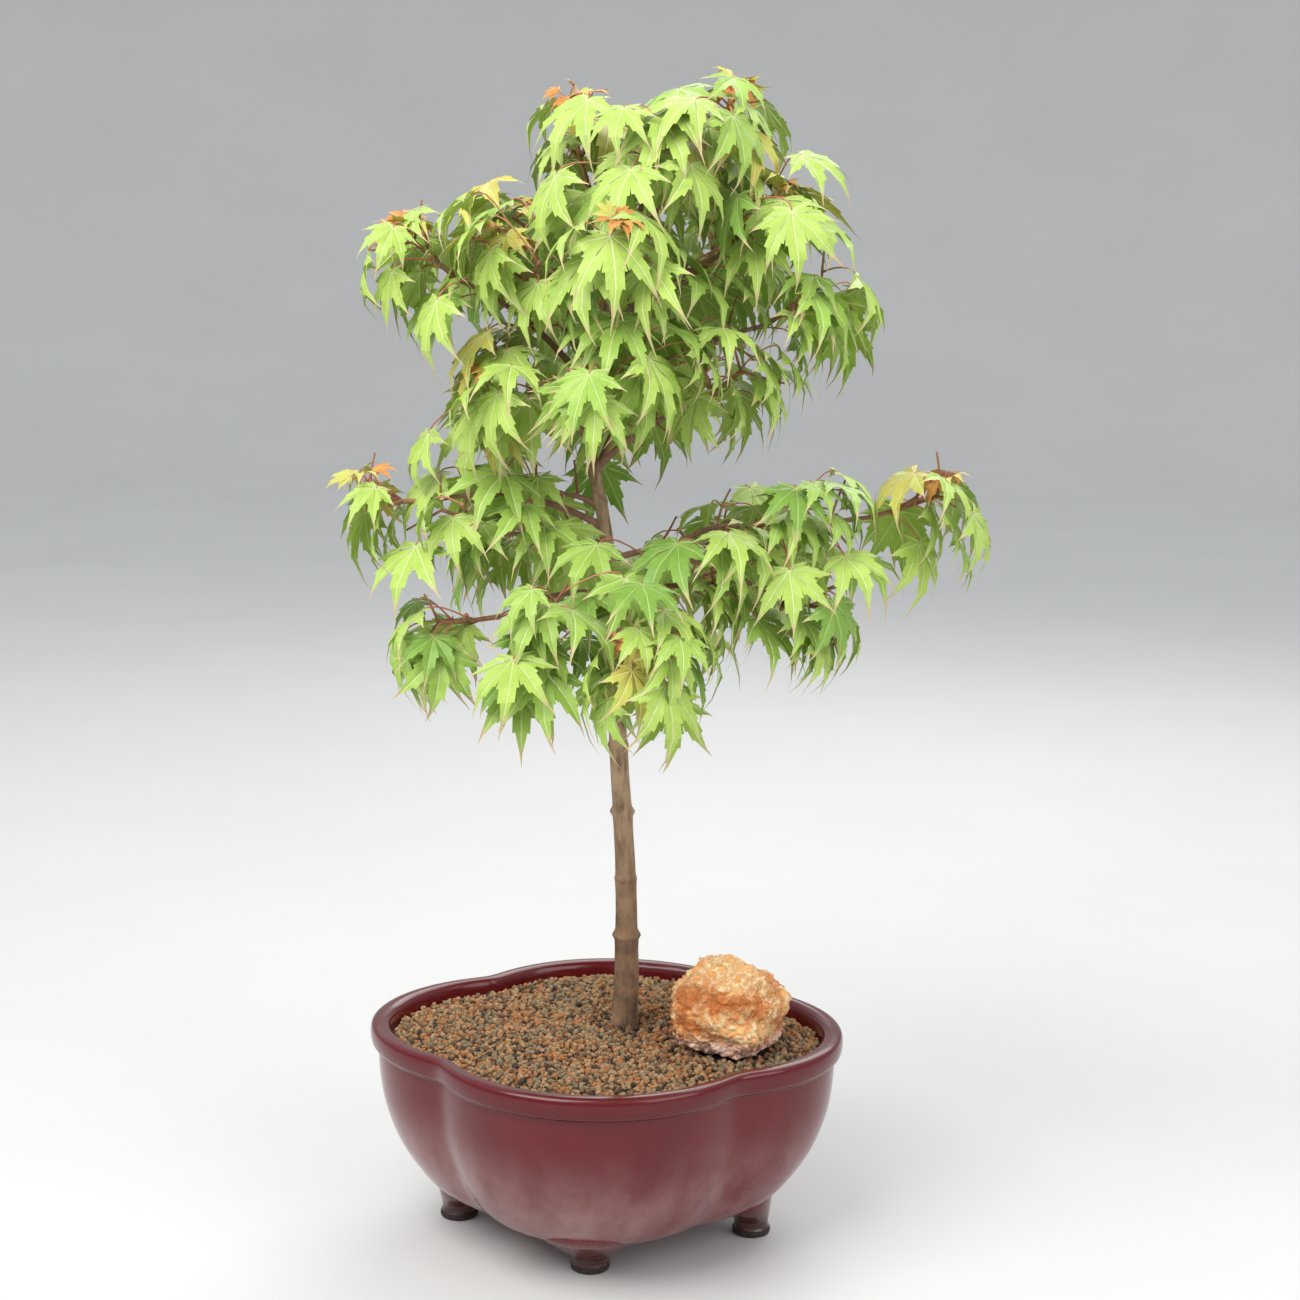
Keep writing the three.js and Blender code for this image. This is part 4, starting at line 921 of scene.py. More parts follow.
def borders_of(space):
    """The flat borders between a mass and its neighbours, as normals and limits: each divides the
    way between two middles in the ratio of their reaches."""
    normals, limits = [], []
    for other in spaces:
        if other is space:
            continue
        apart = other["middle"] - space["middle"]
        distance = np.linalg.norm(apart)
        normal = apart / distance
        own, others = np.linalg.norm(normal * space["reach"]), np.linalg.norm(normal * other["reach"])
        normals.append(normal)
        limits.append(distance * own / (own + others) - SPACE_MARGIN)
    return np.array(normals), np.array(limits)


def in_space(space, points, share=1.0):
    """True where points lie in a mass's space: the fourth powers of their shares of its reach come
    to no more than a limit, and they cross no border."""
    off = points - space["middle"]
    ball = ((off / space["reach"]) ** 4).sum(-1)
    normals, limits = space["borders"]
    return (ball <= share) & (off @ normals.T <= limits).all(-1)


def limb_beads(points, radii):
    """Points along a limb, about three millimetres apart, with the limb's radius at each."""
    places, sizes = [], []
    for i in range(len(points) - 1):
        steps = max(1, int(math.floor(np.linalg.norm(points[i + 1] - points[i]) / BEAD_STEP + 0.5)))
        t = np.arange(steps) / steps
        places.append(points[i] + (points[i + 1] - points[i]) * t[:, None])
        sizes.append(radii[i] + (radii[i + 1] - radii[i]) * t)
    return np.vstack(places), np.concatenate(sizes)


def in_crown(points, share=1.0):
    """True where points lie in any mass's reach."""
    inside = np.zeros(points.shape[:-1], bool)
    for space in spaces:
        inside |= (((points - space["middle"]) / space["reach"]) ** 4).sum(-1) <= share
    return inside


def twig_fits(space, start, end, fine=False):
    """True where a twig keeps to its mass's space, or a finer one to the crown, and clear of every
    limb but the one that bears it."""
    points = start + (end - start) * (np.arange(1, 5) / 4)[:, None]
    if not (in_crown(points, TWIG_SPACE) if fine else in_space(space, points, TWIG_SPACE)).all():
        return False
    places, sizes, own = space["beads"]
    apart = np.linalg.norm(places[None] - points[:, None], axis=-1)
    return not (apart < sizes + LIMB_CLEARANCE + TWIG_TIP_RADIUS)[:, ~own].any()


def turned(vector, axis, angle):
    """Vectors turned round axes by angles."""
    c, s = np.cos(angle)[..., None], np.sin(angle)[..., None]
    return vector * c + np.cross(axis, vector) * s + axis * (axis * vector).sum(-1, keepdims=True) * (1 - c)


def stem_path(space, stream):
    """The stem's way through its mass: from the bough's tip past the middle, wavering a little."""
    crest = crest_of(space)
    target = crest + (space["entry"] - crest) * -STEM_PAST
    points, heading = [space["entry"]], space["heading"].copy()
    count = max(1, int(math.floor(np.linalg.norm(space["entry"] - target) / INTERNODE + 0.5)))
    for i in range(count):
        wanted = unit(target - points[-1])
        heading = heading + (wanted - heading) * STEM_TURN[min(i, 1)]
        heading = heading + STEM_WAVER * np.array([stream.signed() for _ in range(3)])
        heading = unit(heading + UP * STEM_RISE)
        onward = points[-1] + heading * INTERNODE * stream.between(*STEM_INTERNODE)
        if i > 0 and not twig_fits(space, points[-1], onward):
            break
        points.append(onward)
    return np.array(points)


def side_twig(space, node, side, along, stream, size=1.0, fine=False):
    """One side of a pair of side twigs: up to two internodes that fit."""
    heading = unit(side + along * PAIR_FORWARD + UP * PAIR_RISE)
    points = [node]
    wanted = 2 if stream.next() < LONG_TWIGS else 1
    for _ in range(wanted):
        onward = points[-1] + heading * INTERNODE * size * stream.between(*SIDE_INTERNODE)
        waver = np.array([stream.signed(), stream.signed(), 0.0])
        heading = unit(heading + PAIR_WAVER * waver)
        if not twig_fits(space, points[-1], onward, fine):
            break
        points.append(onward)
    return np.array(points)


def grow_twigs(space, stream):
    """The stem and its first pair of side twigs, each as points, radii and the place of its node."""
    stem = stem_path(space, stream)
    radii = BOUGH_TIP_RADIUS + (TWIG_TIP_RADIUS - BOUGH_TIP_RADIUS) * np.arange(len(stem)) / (len(stem) - 1)
    twigs = [(stem, radii, 0)]
    along = unit(stem[1] - stem[0])
    turn = np.array(math.radians(PAIR_TURN) * (1 if stream.next() < 0.5 else -1))
    side = turned(unit(np.cross(along, UP)), along, turn)
    node = stem[1] - along * BUD_BACK
    left = side_twig(space, node, side, along, stream)
    right = side_twig(space, node, -side, along, stream)
    points = np.vstack([left[:0:-1], node[None], right[1:]])
    if len(points) > 1:
        radii = np.full(len(points), TWIG_TIP_RADIUS)
        radii[len(left) - 1] = SIDE_TWIG_RADIUS
        twigs.append((points, radii, len(left) - 1))
    return twigs


def finer_twigs(space, bearer, stream):
    """A finer pair of twigs at each of a limb's nodes but the first two, by the same rule, and
    turned the other way from one node to the next."""
    made = []
    for i in range(2, len(bearer)):
        along = unit(bearer[i] - bearer[i - 1])
        turn = math.radians(FINE_TURN if i % 2 == 0 else PAIR_TURN) * (1 if stream.next() < 0.5 else -1)
        side = turned(unit(np.cross(along, UP)), along, np.array(turn))
        for way in (side, -side):
            points = side_twig(space, bearer[i], way, along, stream, FINE_SIZE, fine=True)
            if len(points) > 1:
                made.append((points, np.linspace(*FINE_RADII, len(points)), 0))
    return made


by_nodes = [node + off for node in NODE_HEIGHTS for off in (-SCAR_REACH, 0, SCAR_REACH)]
between = np.arange(TRUNK[1, 0] + TRUNK_RING_EVERY, TRUNK_TOP - TRUNK_RING_EVERY / 2, TRUNK_RING_EVERY)
between = [height for height in between if all(abs(height - node) > 2 * SCAR_REACH for node in NODE_HEIGHTS)]
trunk_rings = np.sort(np.array([TRUNK[0, 0], LOW_RING, TRUNK[1, 0], TRUNK_TOP, *between, *by_nodes], float))
bead_sets = [("trunk", *limb_beads(*trunk_at(trunk_rings)))]
for space in spaces:
    path = bough_paths[space["name"]]
    radii = space["radius"] + (BOUGH_TIP_RADIUS - space["radius"]) * np.arange(len(path)) / (len(path) - 1)
    bead_sets.append((space["name"], *limb_beads(path, radii)))
bead_names = np.concatenate([[name] * len(places) for name, places, _ in bead_sets])
bead_places = np.vstack([places for _, places, _ in bead_sets])
bead_sizes = np.concatenate([sizes for _, _, sizes in bead_sets])

twig_lines = []
for index, space in enumerate(spaces):
    path = bough_paths[space["name"]]
    space["borders"] = borders_of(space)
    space["axis"] = trunk_at(min(TRUNK_TOP, space["middle"][2]))[0]
    space["heading"] = unit(path[-1] - path[-2])
    space["entry"] = path[-1] + space["heading"] * SEAT_GAP
    near = np.linalg.norm(bead_places - space["middle"], axis=1) < BEADS_WITHIN
    space["beads"] = bead_places[near], bead_sizes[near], bead_names[near] == space["name"]
    space["stream"] = Stream(FIRST_SEED + SEED_STEP * index)
    space["fine_stream"] = Stream(FIRST_SEED + SEED_STEP * index + FINE_SEED)
    space["twigs"] = grow_twigs(space, space["stream"])
    stem = space["twigs"][0][0]
    space["fine_twigs"] = finer_twigs(space, stem, space["fine_stream"])
    space["fine_twigs"] += finer_twigs(space, path[:-1], space["fine_stream"])
    twig_lines += space["twigs"] + space["fine_twigs"]


def twig_skin(points, radii):
    """A smooth tube through a twig's nodes, with a small swelling at each."""
    line = smooth_through(np.c_[points, radii], TWIG_ROWS)
    along = np.arange(len(line)) / TWIG_ROWS
    swell = TWIG_SWELL * np.exp(-(((along - np.round(along)) * TWIG_ROWS / 0.6) ** 2))
    return tube_points(line[:, :3], line[:, 3] + swell * line[:, 3], TWIG_SIDES)


twig_skins = [twig_skin(points, radii) for points, radii, _ in twig_lines]
TWIG_BARK = bark_material("twig_bark", (0.33, 0.12, 0.075, 1), (0.24, 0.09, 0.06, 1), (0.38, 0.22, 0.10, 1))
mass_nodes = ["leaves_" + space["name"] for space in spaces]
twig_piece = make_piece("twigs", "bark", *joined_tubes(twig_skins), [TWIG_BARK])
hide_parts(*mass_nodes)


# ------------------------------------------------------------------------------------------
# Where leaves stand
# Leaves sit on the nodes of the twigs, and hang outwards and down towards the light. Each is tried
# as a plain blade of five lobes, and stays only if it clears the limbs, the twigs and its neighbours.
# ------------------------------------------------------------------------------------------

LEAF_LENGTH = 43
LEAF_THICKNESS, BLADE_BASE, BLADE_DROOP = 0.028, 0.035, 0.24  # shares of a blade's length
JOINT_FORWARD, BLADE_MIDDLE = 0.05, 0.35  # and from its joint to where its lobes meet, and to its middle
LEAF_REACH = 1.2  # how near two leaves come to be compared, in their lengths
PETIOLE, PETIOLE_RADIUS = 22, 0.45  # a stalk's usual length, and its radius
PLAIN_LOBES = [(-82, 0.64), (-39, 0.92), (0, 1.0), (39, 0.92), (82, 0.64)]  # angle, length
PLAIN_NOTCHES = [(-61, 0.38), (-20, 0.45), (20, 0.45), (61, 0.38)]
PETIOLE_FORWARD = 0.6
PETIOLE_SIDE = 0.7
PETIOLE_HEADING = 0.5
PETIOLE_RISE = (-0.25, 0.4)
PETIOLE_SHARE = (0.4, 1.6)
HEADING_SIDE = 0.9
HEADING_OUT = 0.55
LIGHT = np.array([0, -0.35, 0])
HEADING_SPREAD, ROLL = 60, 20  # degrees to each side
DROOP = (25, 75)  # degrees below level
LARGEST_LEAF = 1.12
LATE_LOSS = 0.35  # how much smaller the last leaf tried is, as a share
SIZE_SPREAD = 0.12
LEAST_FORWARD = 0.15  # of a stalk's way that lies along the midrib, as blades don't fold back
LEAF_SPACING = 12
LEAF_TRIES = 2500
MOST_LEAVES = 10  # on a mass
TINY = 1e-12
BLADE_SIZE = 0.84  # of the first leaves, beside finer ones, to what they measure alone
FINE_TRIES = 1300
FINE_SPACING = 10
FINE_SHARE = (0.3, 1.0)  # the finer leaves are smaller than the first ones
FINE_DROOP = (5, 60)
FINE_REACH = 1.0
MOST_FINE_LEAVES = 12
FEW_FINE_LEAVES = {
    "far_left": 1, "low_left": 1, "low_left_upper": 5, "middle_left_low": 4, "low_front_left": 6,
    "low_right_far": 4, "low_right_bottom": 3,
}  # fmt: skip
THIN_PLACES = [  # middle and reach of the gaps that finer leaves leave open
    ((58, 0, 418), (50, 130, 24)),
    ((-62, -30, 330), (20, 60, 34)),
]
OPEN_PLACES = [  # and of those where sky shows, that no leaf's middle lies in
    ((116, 0, 516), (19, 60, 18)),
    ((132, -25, 418), (14, 20, 14)),
    ((16, 80, 383), (42, 60, 22)),
    ((-86, -22, 446), (14, 44, 36)),
    ((135, -10, 345), (14, 28, 16)),
    ((-50, -3, 584), (16, 34, 13)),
    ((91, 11, 584), (13, 20, 14)),
    ((82, -24, 323), (12, 20, 14)),
    ((-85, 28, 541), (16, 20, 12)),
]


def blade_outline():
    """The plain blade's outline in its own axes, across, along the midrib and up, sinking with the
    square of the distance from the joint."""
    spread = sorted(PLAIN_LOBES + PLAIN_NOTCHES, key=lambda place: -place[0])
    angle, length = np.radians([a for a, _ in spread]), np.array([r for _, r in spread])
    outline = np.stack(
        [length * np.sin(angle), length * np.cos(angle) + JOINT_FORWARD, -BLADE_DROOP * length**2], -1
    )
    return np.vstack([[BLADE_BASE, -0.02, 0], outline, [-BLADE_BASE, -0.02, 0]])


OUTLINE = blade_outline()
TOP = len(OUTLINE)


def buds_of(twigs):
    """The places that can bear a leaf, with the way their twig runs: the middle and the end of
    every internode."""
    places, ways = [], []
    for points, _, first in twigs:
        for i in range(len(points)):
            if i == first:
                continue
            inner = points[i + 1] if i < first else points[i - 1]
            along = unit(points[i] - inner)
            places += [inner + (points[i] - inner) * 0.5, points[i] - along * BUD_BACK]
            ways += [along, along]
    return np.array(places), np.array(ways)


def try_leaves(space, buds, shares, numbers, droops):
    """Tries at leaves on buds, as arrays: a stalk that sets off sideways and rises, and a blade that
    heads out of the crown and hangs. Each takes eight numbers of its stream."""
    places, ways = buds
    pick = np.floor(numbers[:, 0] * len(places)).astype(int)
    root, along = places[pick], ways[pick]
    spread = 2 * numbers - 1
    outward = (root - space["axis"]) * np.array([1, 1, 0])
    outward = unit(outward)
    side = turned(unit(np.cross(along, UP)), along, math.pi * spread[:, 1])
    side = unit(side + along * PETIOLE_FORWARD)
    heading = side * np.array([1, 1, 0]) * HEADING_SIDE + outward * HEADING_OUT + LIGHT
    heading = unit(turned(heading, UP[None], math.radians(HEADING_SPREAD) * spread[:, 2]))
    way = side * PETIOLE_SIDE + heading * PETIOLE_HEADING
    way[:, 2] += PETIOLE_RISE[0] + (PETIOLE_RISE[1] - PETIOLE_RISE[0]) * numbers[:, 3]
    way = unit(way)
    droop = np.radians(droops[0] + (droops[1] - droops[0]) * numbers[:, 4])[:, None]
    midrib = heading * np.cos(droop) - UP * np.sin(droop)
    normal = heading * np.sin(droop) + UP * np.cos(droop)
    normal = turned(normal, midrib, math.radians(ROLL) * spread[:, 5])
    stalk = PETIOLE * (PETIOLE_SHARE[0] + (PETIOLE_SHARE[1] - PETIOLE_SHARE[0]) * numbers[:, 6])
    length = LEAF_LENGTH * (LARGEST_LEAF - LATE_LOSS * shares - SIZE_SPREAD * numbers[:, 7])
    joint = root + way * stalk[:, None]
    return dict(
        root=root,
        joint=joint,
        way=way,
        middle=joint + midrib * BLADE_MIDDLE * length[:, None],
        across=np.cross(midrib, normal),
        midrib=midrib,
        normal=normal,
        length=length,
        forward=(way * midrib).sum(-1),
    )


def leaf_points(leaf):
    """Plain leaves as points: the outline, the top and bottom of the joint, and the stalk's root."""
    joints = [[0, JOINT_FORWARD, LEAF_THICKNESS / 2], [0, JOINT_FORWARD, -LEAF_THICKNESS / 2]]
    shape = np.vstack([OUTLINE, joints])
    axes = np.stack([leaf["across"], leaf["midrib"], leaf["normal"]], -2)
    blade = leaf["joint"][..., None, :] + (shape @ axes) * leaf["length"][..., None, None]
    side, below = leaf["across"] * PETIOLE_RADIUS, leaf["normal"] * 1.5 * PETIOLE_RADIUS
    foot = np.stack([leaf["root"] + side, leaf["root"] - side, leaf["root"] - below], -2)
    return np.concatenate([blade, foot], -2)


def fans(points):
    """The triangles of both skins of plain blades, shaped (..., triangles, 3, 3)."""
    first, second = points[..., : TOP - 1, :], points[..., 1:TOP, :]
    skins = [
        np.stack([np.broadcast_to(points[..., middle : middle + 1, :], first.shape), first, second], -2)
        for middle in (TOP, TOP + 1)
    ]
    return np.concatenate(skins, -3)


def threads(points, root, joint):
    """The lines of plain blades that may pierce another: outline, spokes and stalk."""
    first, middle = points[..., : TOP - 1, :], np.repeat(points[..., TOP : TOP + 1, :], TOP - 1, -2)
    starts = np.concatenate([first, middle, root[..., None, :]], -2)
    ends = np.concatenate([points[..., 1:TOP, :], first, joint[..., None, :]], -2)
    return starts, ends


def any_pierced(starts, ends, triangles):
    """True where any of some lines passes through any of some triangles: the line's point in the
    triangle's plane is within the line and within the triangle."""
    a, b, c = triangles[None, :, 0], triangles[None, :, 1], triangles[None, :, 2]
    way = (ends - starts)[:, None]
    edge1, edge2 = b - a, c - a
    p = np.cross(way, edge2)
    det = (edge1 * p).sum(-1)
    safe = np.where(np.abs(det) < TINY, np.inf, det)
    off = starts[:, None] - a
    u = (off * p).sum(-1) / safe
    q = np.cross(off, edge1)
    v = (way * q).sum(-1) / safe
    t = (edge2 * q).sum(-1) / safe
    return bool(((u >= 0) & (v >= 0) & (u + v <= 1) & (t >= 0) & (t < 1) & np.isfinite(safe)).any())


def distance_to_triangles(point, triangles):
    """Distance from points, shaped (n, 1, 3), to triangles, shaped (m, 3, 3): to the plane where
    the foot lies inside, and otherwise to the nearest side."""
    a, b, c = triangles[:, 0], triangles[:, 1], triangles[:, 2]
    normal = np.cross(b - a, c - a)
    normal /= np.maximum(np.linalg.norm(normal, axis=-1, keepdims=True), TINY)
    height = ((point - a) * normal).sum(-1)
    foot = point - normal * height[..., None]
    inside = np.ones(height.shape, bool)
    nearest = np.full(height.shape, np.inf)
    for start, end in ((a, b), (b, c), (c, a)):
        side = end - start
        inside &= (np.cross(side, foot - start) * normal).sum(-1) >= 0
        t = np.clip(((point - start) * side).sum(-1) / np.maximum((side**2).sum(-1), TINY), 0, 1)
        nearest = np.minimum(nearest, np.linalg.norm(point - (start + side * t[..., None]), axis=-1))
    return np.where(inside, np.abs(height), nearest)


def clears_limbs(space, leaf, points):
    """True where a leaf stays clear of every limb; its stalk may start beside its own bough."""
    places, sizes, own = space["beads"]
    near = np.linalg.norm(places - leaf["middle"], axis=1) <= LEAF_REACH * leaf["length"]
    if not near.any():
        return True
    places, clear, own = places[near], sizes[near] + LIMB_CLEARANCE, own[near]
    blade = distance_to_triangles(places[:, None], fans(points)[: TOP - 1]).min(1)
    stalk = leaf["joint"] - leaf["root"]
    t = np.clip(((places - leaf["root"]) @ stalk) / (stalk @ stalk), 0, 1)
    beside = np.linalg.norm(places - (leaf["root"] + stalk * t[:, None]), axis=1)
    return not ((blade < clear) | (~own & (beside < clear))).any()


def is_free(leaf, points, twig_threads, leaves, spacing):
    """True where a leaf touches none of some twigs and leaves."""
    own_fans = fans(points)
    if any_pierced(*twig_threads, own_fans):
        return False
    near = []
    for other in leaves:
        apart = np.linalg.norm(other["middle"] - leaf["middle"])
        if apart < spacing:
            return False
        if apart <= LEAF_REACH * (leaf["length"] + other["length"]):
            near.append(other)
    if not near:
        return True
    own_starts, own_ends = threads(points, leaf["root"], leaf["joint"])
    starts, ends, skins = (np.vstack([other[key] for other in near]) for key in ("starts", "ends", "fans"))
    return not (any_pierced(own_starts, own_ends, skins) or any_pierced(starts, ends, own_fans))


def in_places(points, places):
    """Whether each point lies in one of the ellipsoids that the places name."""
    middle, reach = np.moveaxis(np.array(places, float), 1, 0)
    return ((((points[..., None, :] - middle) / reach) ** 2).sum(-1) < 1).any(-1)


def grow_leaves(space, twigs, stream, growth, others):
    """A mass's new leaves, on buds taken at random. A leaf that would leave the space, or touch a
    limb, a twig or another leaf, is skipped."""
    tries = growth["tries"]
    numbers = stream.take(8 * tries).reshape(tries, 8)
    shares = np.linspace(*growth["shares"], tries, endpoint=False)
    tried = try_leaves(space, buds_of(twigs), shares, numbers, growth["droop"])
    points = leaf_points(tried)
    if growth["fine"]:
        inside = in_crown(points, FINE_REACH) & ~in_places(points, THIN_PLACES)
        inside &= ~in_places(tried["middle"], OPEN_PLACES)[:, None]
    else:
        inside = in_space(space, points)
    twig_threads = np.vstack([t[0][:-1] for t in twigs]), np.vstack([t[0][1:] for t in twigs])
    grown, others = [], list(others)
    for i in np.flatnonzero((tried["forward"] >= LEAST_FORWARD) & inside.all(-1)):
        if len(grown) >= growth["most"]:
            break
        leaf = {key: value[i] for key, value in tried.items()}
        if not is_free(leaf, points[i], twig_threads, others, growth["spacing"]):
            continue
        if clears_limbs(space, leaf, points[i]):
            leaf["starts"], leaf["ends"] = threads(points[i], leaf["root"], leaf["joint"])
            leaf["fans"], leaf["space"] = fans(points[i]), space
            grown.append(leaf)
            others.append(leaf)
    return grown


FIRST_GROWTH = dict(
    tries=LEAF_TRIES, shares=(0, 1), droop=DROOP, most=MOST_LEAVES, spacing=LEAF_SPACING, fine=False
)  # fmt: skip
FINE_GROWTH = dict(tries=FINE_TRIES, shares=FINE_SHARE, droop=FINE_DROOP, spacing=FINE_SPACING, fine=True)
all_leaves = []
for space in spaces:
    all_leaves += grow_leaves(space, space["twigs"], space["stream"], FIRST_GROWTH, [])
first_leaves = [leaf for leaf in all_leaves if not in_places(leaf["middle"], OPEN_PLACES)]
all_leaves = list(first_leaves)
for space in spaces:
    path = bough_paths[space["name"]]
    limbs = [*space["twigs"], *space["fine_twigs"], (path[len(path) // 2 :], None, 0)]
    most = FEW_FINE_LEAVES.get(space["name"], MOST_FINE_LEAVES)
    all_leaves += grow_leaves(space, limbs, space["fine_stream"], FINE_GROWTH | {"most": most}, all_leaves)
for leaf in first_leaves:
    leaf["share"] = BLADE_SIZE


# ------------------------------------------------------------------------------------------
# Blades
# Thin palmate blades of seven toothed lobes with long curling tails. Most are fresh green or lime,
# shaded ones deeper, and the youngest are small and bronze.
# ------------------------------------------------------------------------------------------

BLADE_LOBES = [  # angle, length, and the notch outside it: angle, length
    (0, 1.0, 19.5, 0.40),
    (38, 0.90, 59, 0.34),
    (79, 0.62, 99, 0.21),
    (118, 0.29, 160, 0.05),
]
MARGIN = [  # share of the way from notch to tail, width there, lead of a tooth
    (0, 1, 0), (0.15, 1.26, 0.035), (0.19, 0.94, 0), (0.42, 0.96, 0.035), (0.46, 0.64, 0), (0.8, 0.15, 0),
    (1, 0.02, 0),
]  # fmt: skip
PLAIN_MARGIN = [(0, 1, 0), (0.35, 0.9, 0), (1, 0.02, 0)]
TOOTHED_LOBES = 3  # on each side, from the middle one
TAIL = 1.12  # a lobe's length with its tail
FOLD = (0.12, 0.45)
CURL_FROM = 0.62  # share of the blade's length
CURL = (0.2, 1.6)
SAG = (0.02, 0.2)
WAVE_HEIGHT, WAVES_ACROSS, WAVES_ALONG = 0.016, 17, 15
DROOP_SHARE, WIDTH_SHARE = (0.8, 1.3), (0.9, 1.04)
TWIST, SHEAR = (-0.8, 0.8), (-0.1, 0.1)
TAIL_TUCK = (0.1, 0.6)  # how far a curled tail draws back
ANY_TURN = (0, 6.3)
VEIN_WIDTH = 0.017
SIDE_VEINS, VEIN_SLANT = 9, 1.4

# lime, fresh and green are lit and shaded copies of one leaf colour, dealt by place as painted light and
# painted shade; bronze and golden are young leaves' own colours
LEAF_KINDS = {  # blade, its spots, vein
    "lime": ((0.45, 0.60, 0.115, 1), (0.36, 0.53, 0.085, 1), (0.62, 0.72, 0.30, 1)),
    "fresh": ((0.38, 0.55, 0.10, 1), (0.29, 0.47, 0.07, 1), (0.56, 0.69, 0.26, 1)),
    "green": ((0.245, 0.41, 0.065, 1), (0.185, 0.34, 0.05, 1), (0.40, 0.55, 0.17, 1)),
    "bronze": ((0.66, 0.33, 0.07, 1), (0.58, 0.18, 0.045, 1), (0.76, 0.52, 0.15, 1)),
    "golden": ((0.53, 0.60, 0.11, 1), (0.62, 0.46, 0.09, 1), (0.75, 0.74, 0.28, 1)),
}
TAIL_COLOR = (0.62, 0.50, 0.25, 1)


def half_lobe(angle, length, notch_angle, notch_length, side, margin):
    """Half a lobe in the blade's plane, as the lines of its midrib and its toothed margin, from the
    joint by the notch to the tail, with each point's distance off the midrib and share along it."""
    turn, spread = math.radians(angle), math.radians(abs(notch_angle - angle))
    notch_off, notch_at = notch_length * math.sin(spread), notch_length * math.cos(spread)
    share, width, lead = np.array(margin).T
    at = np.concatenate([[0], notch_at + (length * TAIL - notch_at) * share])
    off = np.concatenate([[0], notch_off * width])
    rib = np.stack([0 * at, at], -1)
    edge = np.stack([side * off, at + length * np.concatenate([[0], lead])], -1)
    lines = np.concatenate([rib, edge])
    c, s = math.cos(turn), math.sin(turn)
    flat = np.stack([lines[:, 0] * c + lines[:, 1] * s, lines[:, 1] * c - lines[:, 0] * s], -1)
    return flat, np.abs(lines[:, 0]), lines[:, 1] / length


def blade_shape():
    """The blade's points in its plane, how far each lies off its lobe's midrib, its share along it,
    and the blade's triangles and quads."""
    parts, tris, quads, first = [], [], [], 0
    for number, (angle, length, outer_angle, outer_length) in enumerate(BLADE_LOBES):
        inner_angle, inner_length = BLADE_LOBES[number - 1][2:] if number else (-outer_angle, outer_length)
        margin = MARGIN if number < TOOTHED_LOBES else PLAIN_MARGIN
        halves = (outer_angle, outer_length, 1), (inner_angle, inner_length, -1)
        for mirror in (1, -1) if number else (1,):
            for notch_angle, notch_length, side in halves:
                flat, off, along = half_lobe(angle, length, notch_angle, notch_length, side, margin)
                parts.append((flat * np.array([mirror, 1]), off, along))
                count = len(flat) // 2
                i = np.arange(1, count - 1)
                strip = first + np.stack([i, count + i, count + i + 1, i + 1], -1)
                fan = first + np.array([[0, count + 1, 1]])
                upward = 1 if side * mirror > 0 else -1
                quads.append(strip[:, ::upward])
                tris.append(fan[:, ::upward])
                first += 2 * count
    flat, off, along = (np.concatenate(column) for column in zip(*parts))
    return flat, off, along, np.vstack(tris), np.vstack(quads)


def blade_group():
    """A blade's colour from the places off and along its lobes' midribs: mottled green, pale midribs
    and fainter side veins, and tan tails. Its height is lower on the veins."""
    inputs = dict(Blade="Color", Vein="Color", Tail="Color")
    group, wiring, given, out = node_group("blade", inputs, dict(Color="Color", Height="Float"))
    split = wiring.add("SeparateXYZ")
    wiring.feed(split.inputs[0], wiring.add("UVMap", uv_map="blade").outputs[0])
    off, along = split.outputs["X"], split.outputs["Y"]
    midrib = wiring.masked(off, VEIN_WIDTH, 0.35 * VEIN_WIDTH)
    slanted = wiring.worked("SUBTRACT", along, wiring.worked("MULTIPLY", off, VEIN_SLANT))
    row = wiring.worked("PINGPONG", wiring.worked("MULTIPLY", slanted, SIDE_VEINS), 0.5)
    side = wiring.worked("MULTIPLY", wiring.masked(row, 0.09, 0.02), 0.3)
    veins = wiring.worked("MAXIMUM", midrib, side)
    tails = wiring.masked(along, 0.82, 0.99)
    veined = wiring.mixed(veins, given["Blade"], given["Vein"])
    wiring.feed(out["Color"], wiring.mixed(tails, veined, given["Tail"]))
    wiring.feed(out["Height"], wiring.worked("SUBTRACT", 1.0, veins))
    return group


BLADE = blade_group()


def leaf_material(name, base, spots, vein):
    """A blade of one colour, a little glossy, with soft spots, veins and tails."""
    made = Finish(name, 0.4, Specular_IOR_Level=0.3)
    mottled, _ = made.mottle(base, spots, 130, 0.22)
    blade = made.add("Group", node_tree=BLADE)
    for name, value in dict(Blade=mottled, Vein=vein, Tail=TAIL_COLOR).items():
        made.feed(blade.inputs[name], value)
    made.color(blade.outputs["Color"])
    made.bump(blade.outputs["Height"], 0.35, 0.7)
    return made.material


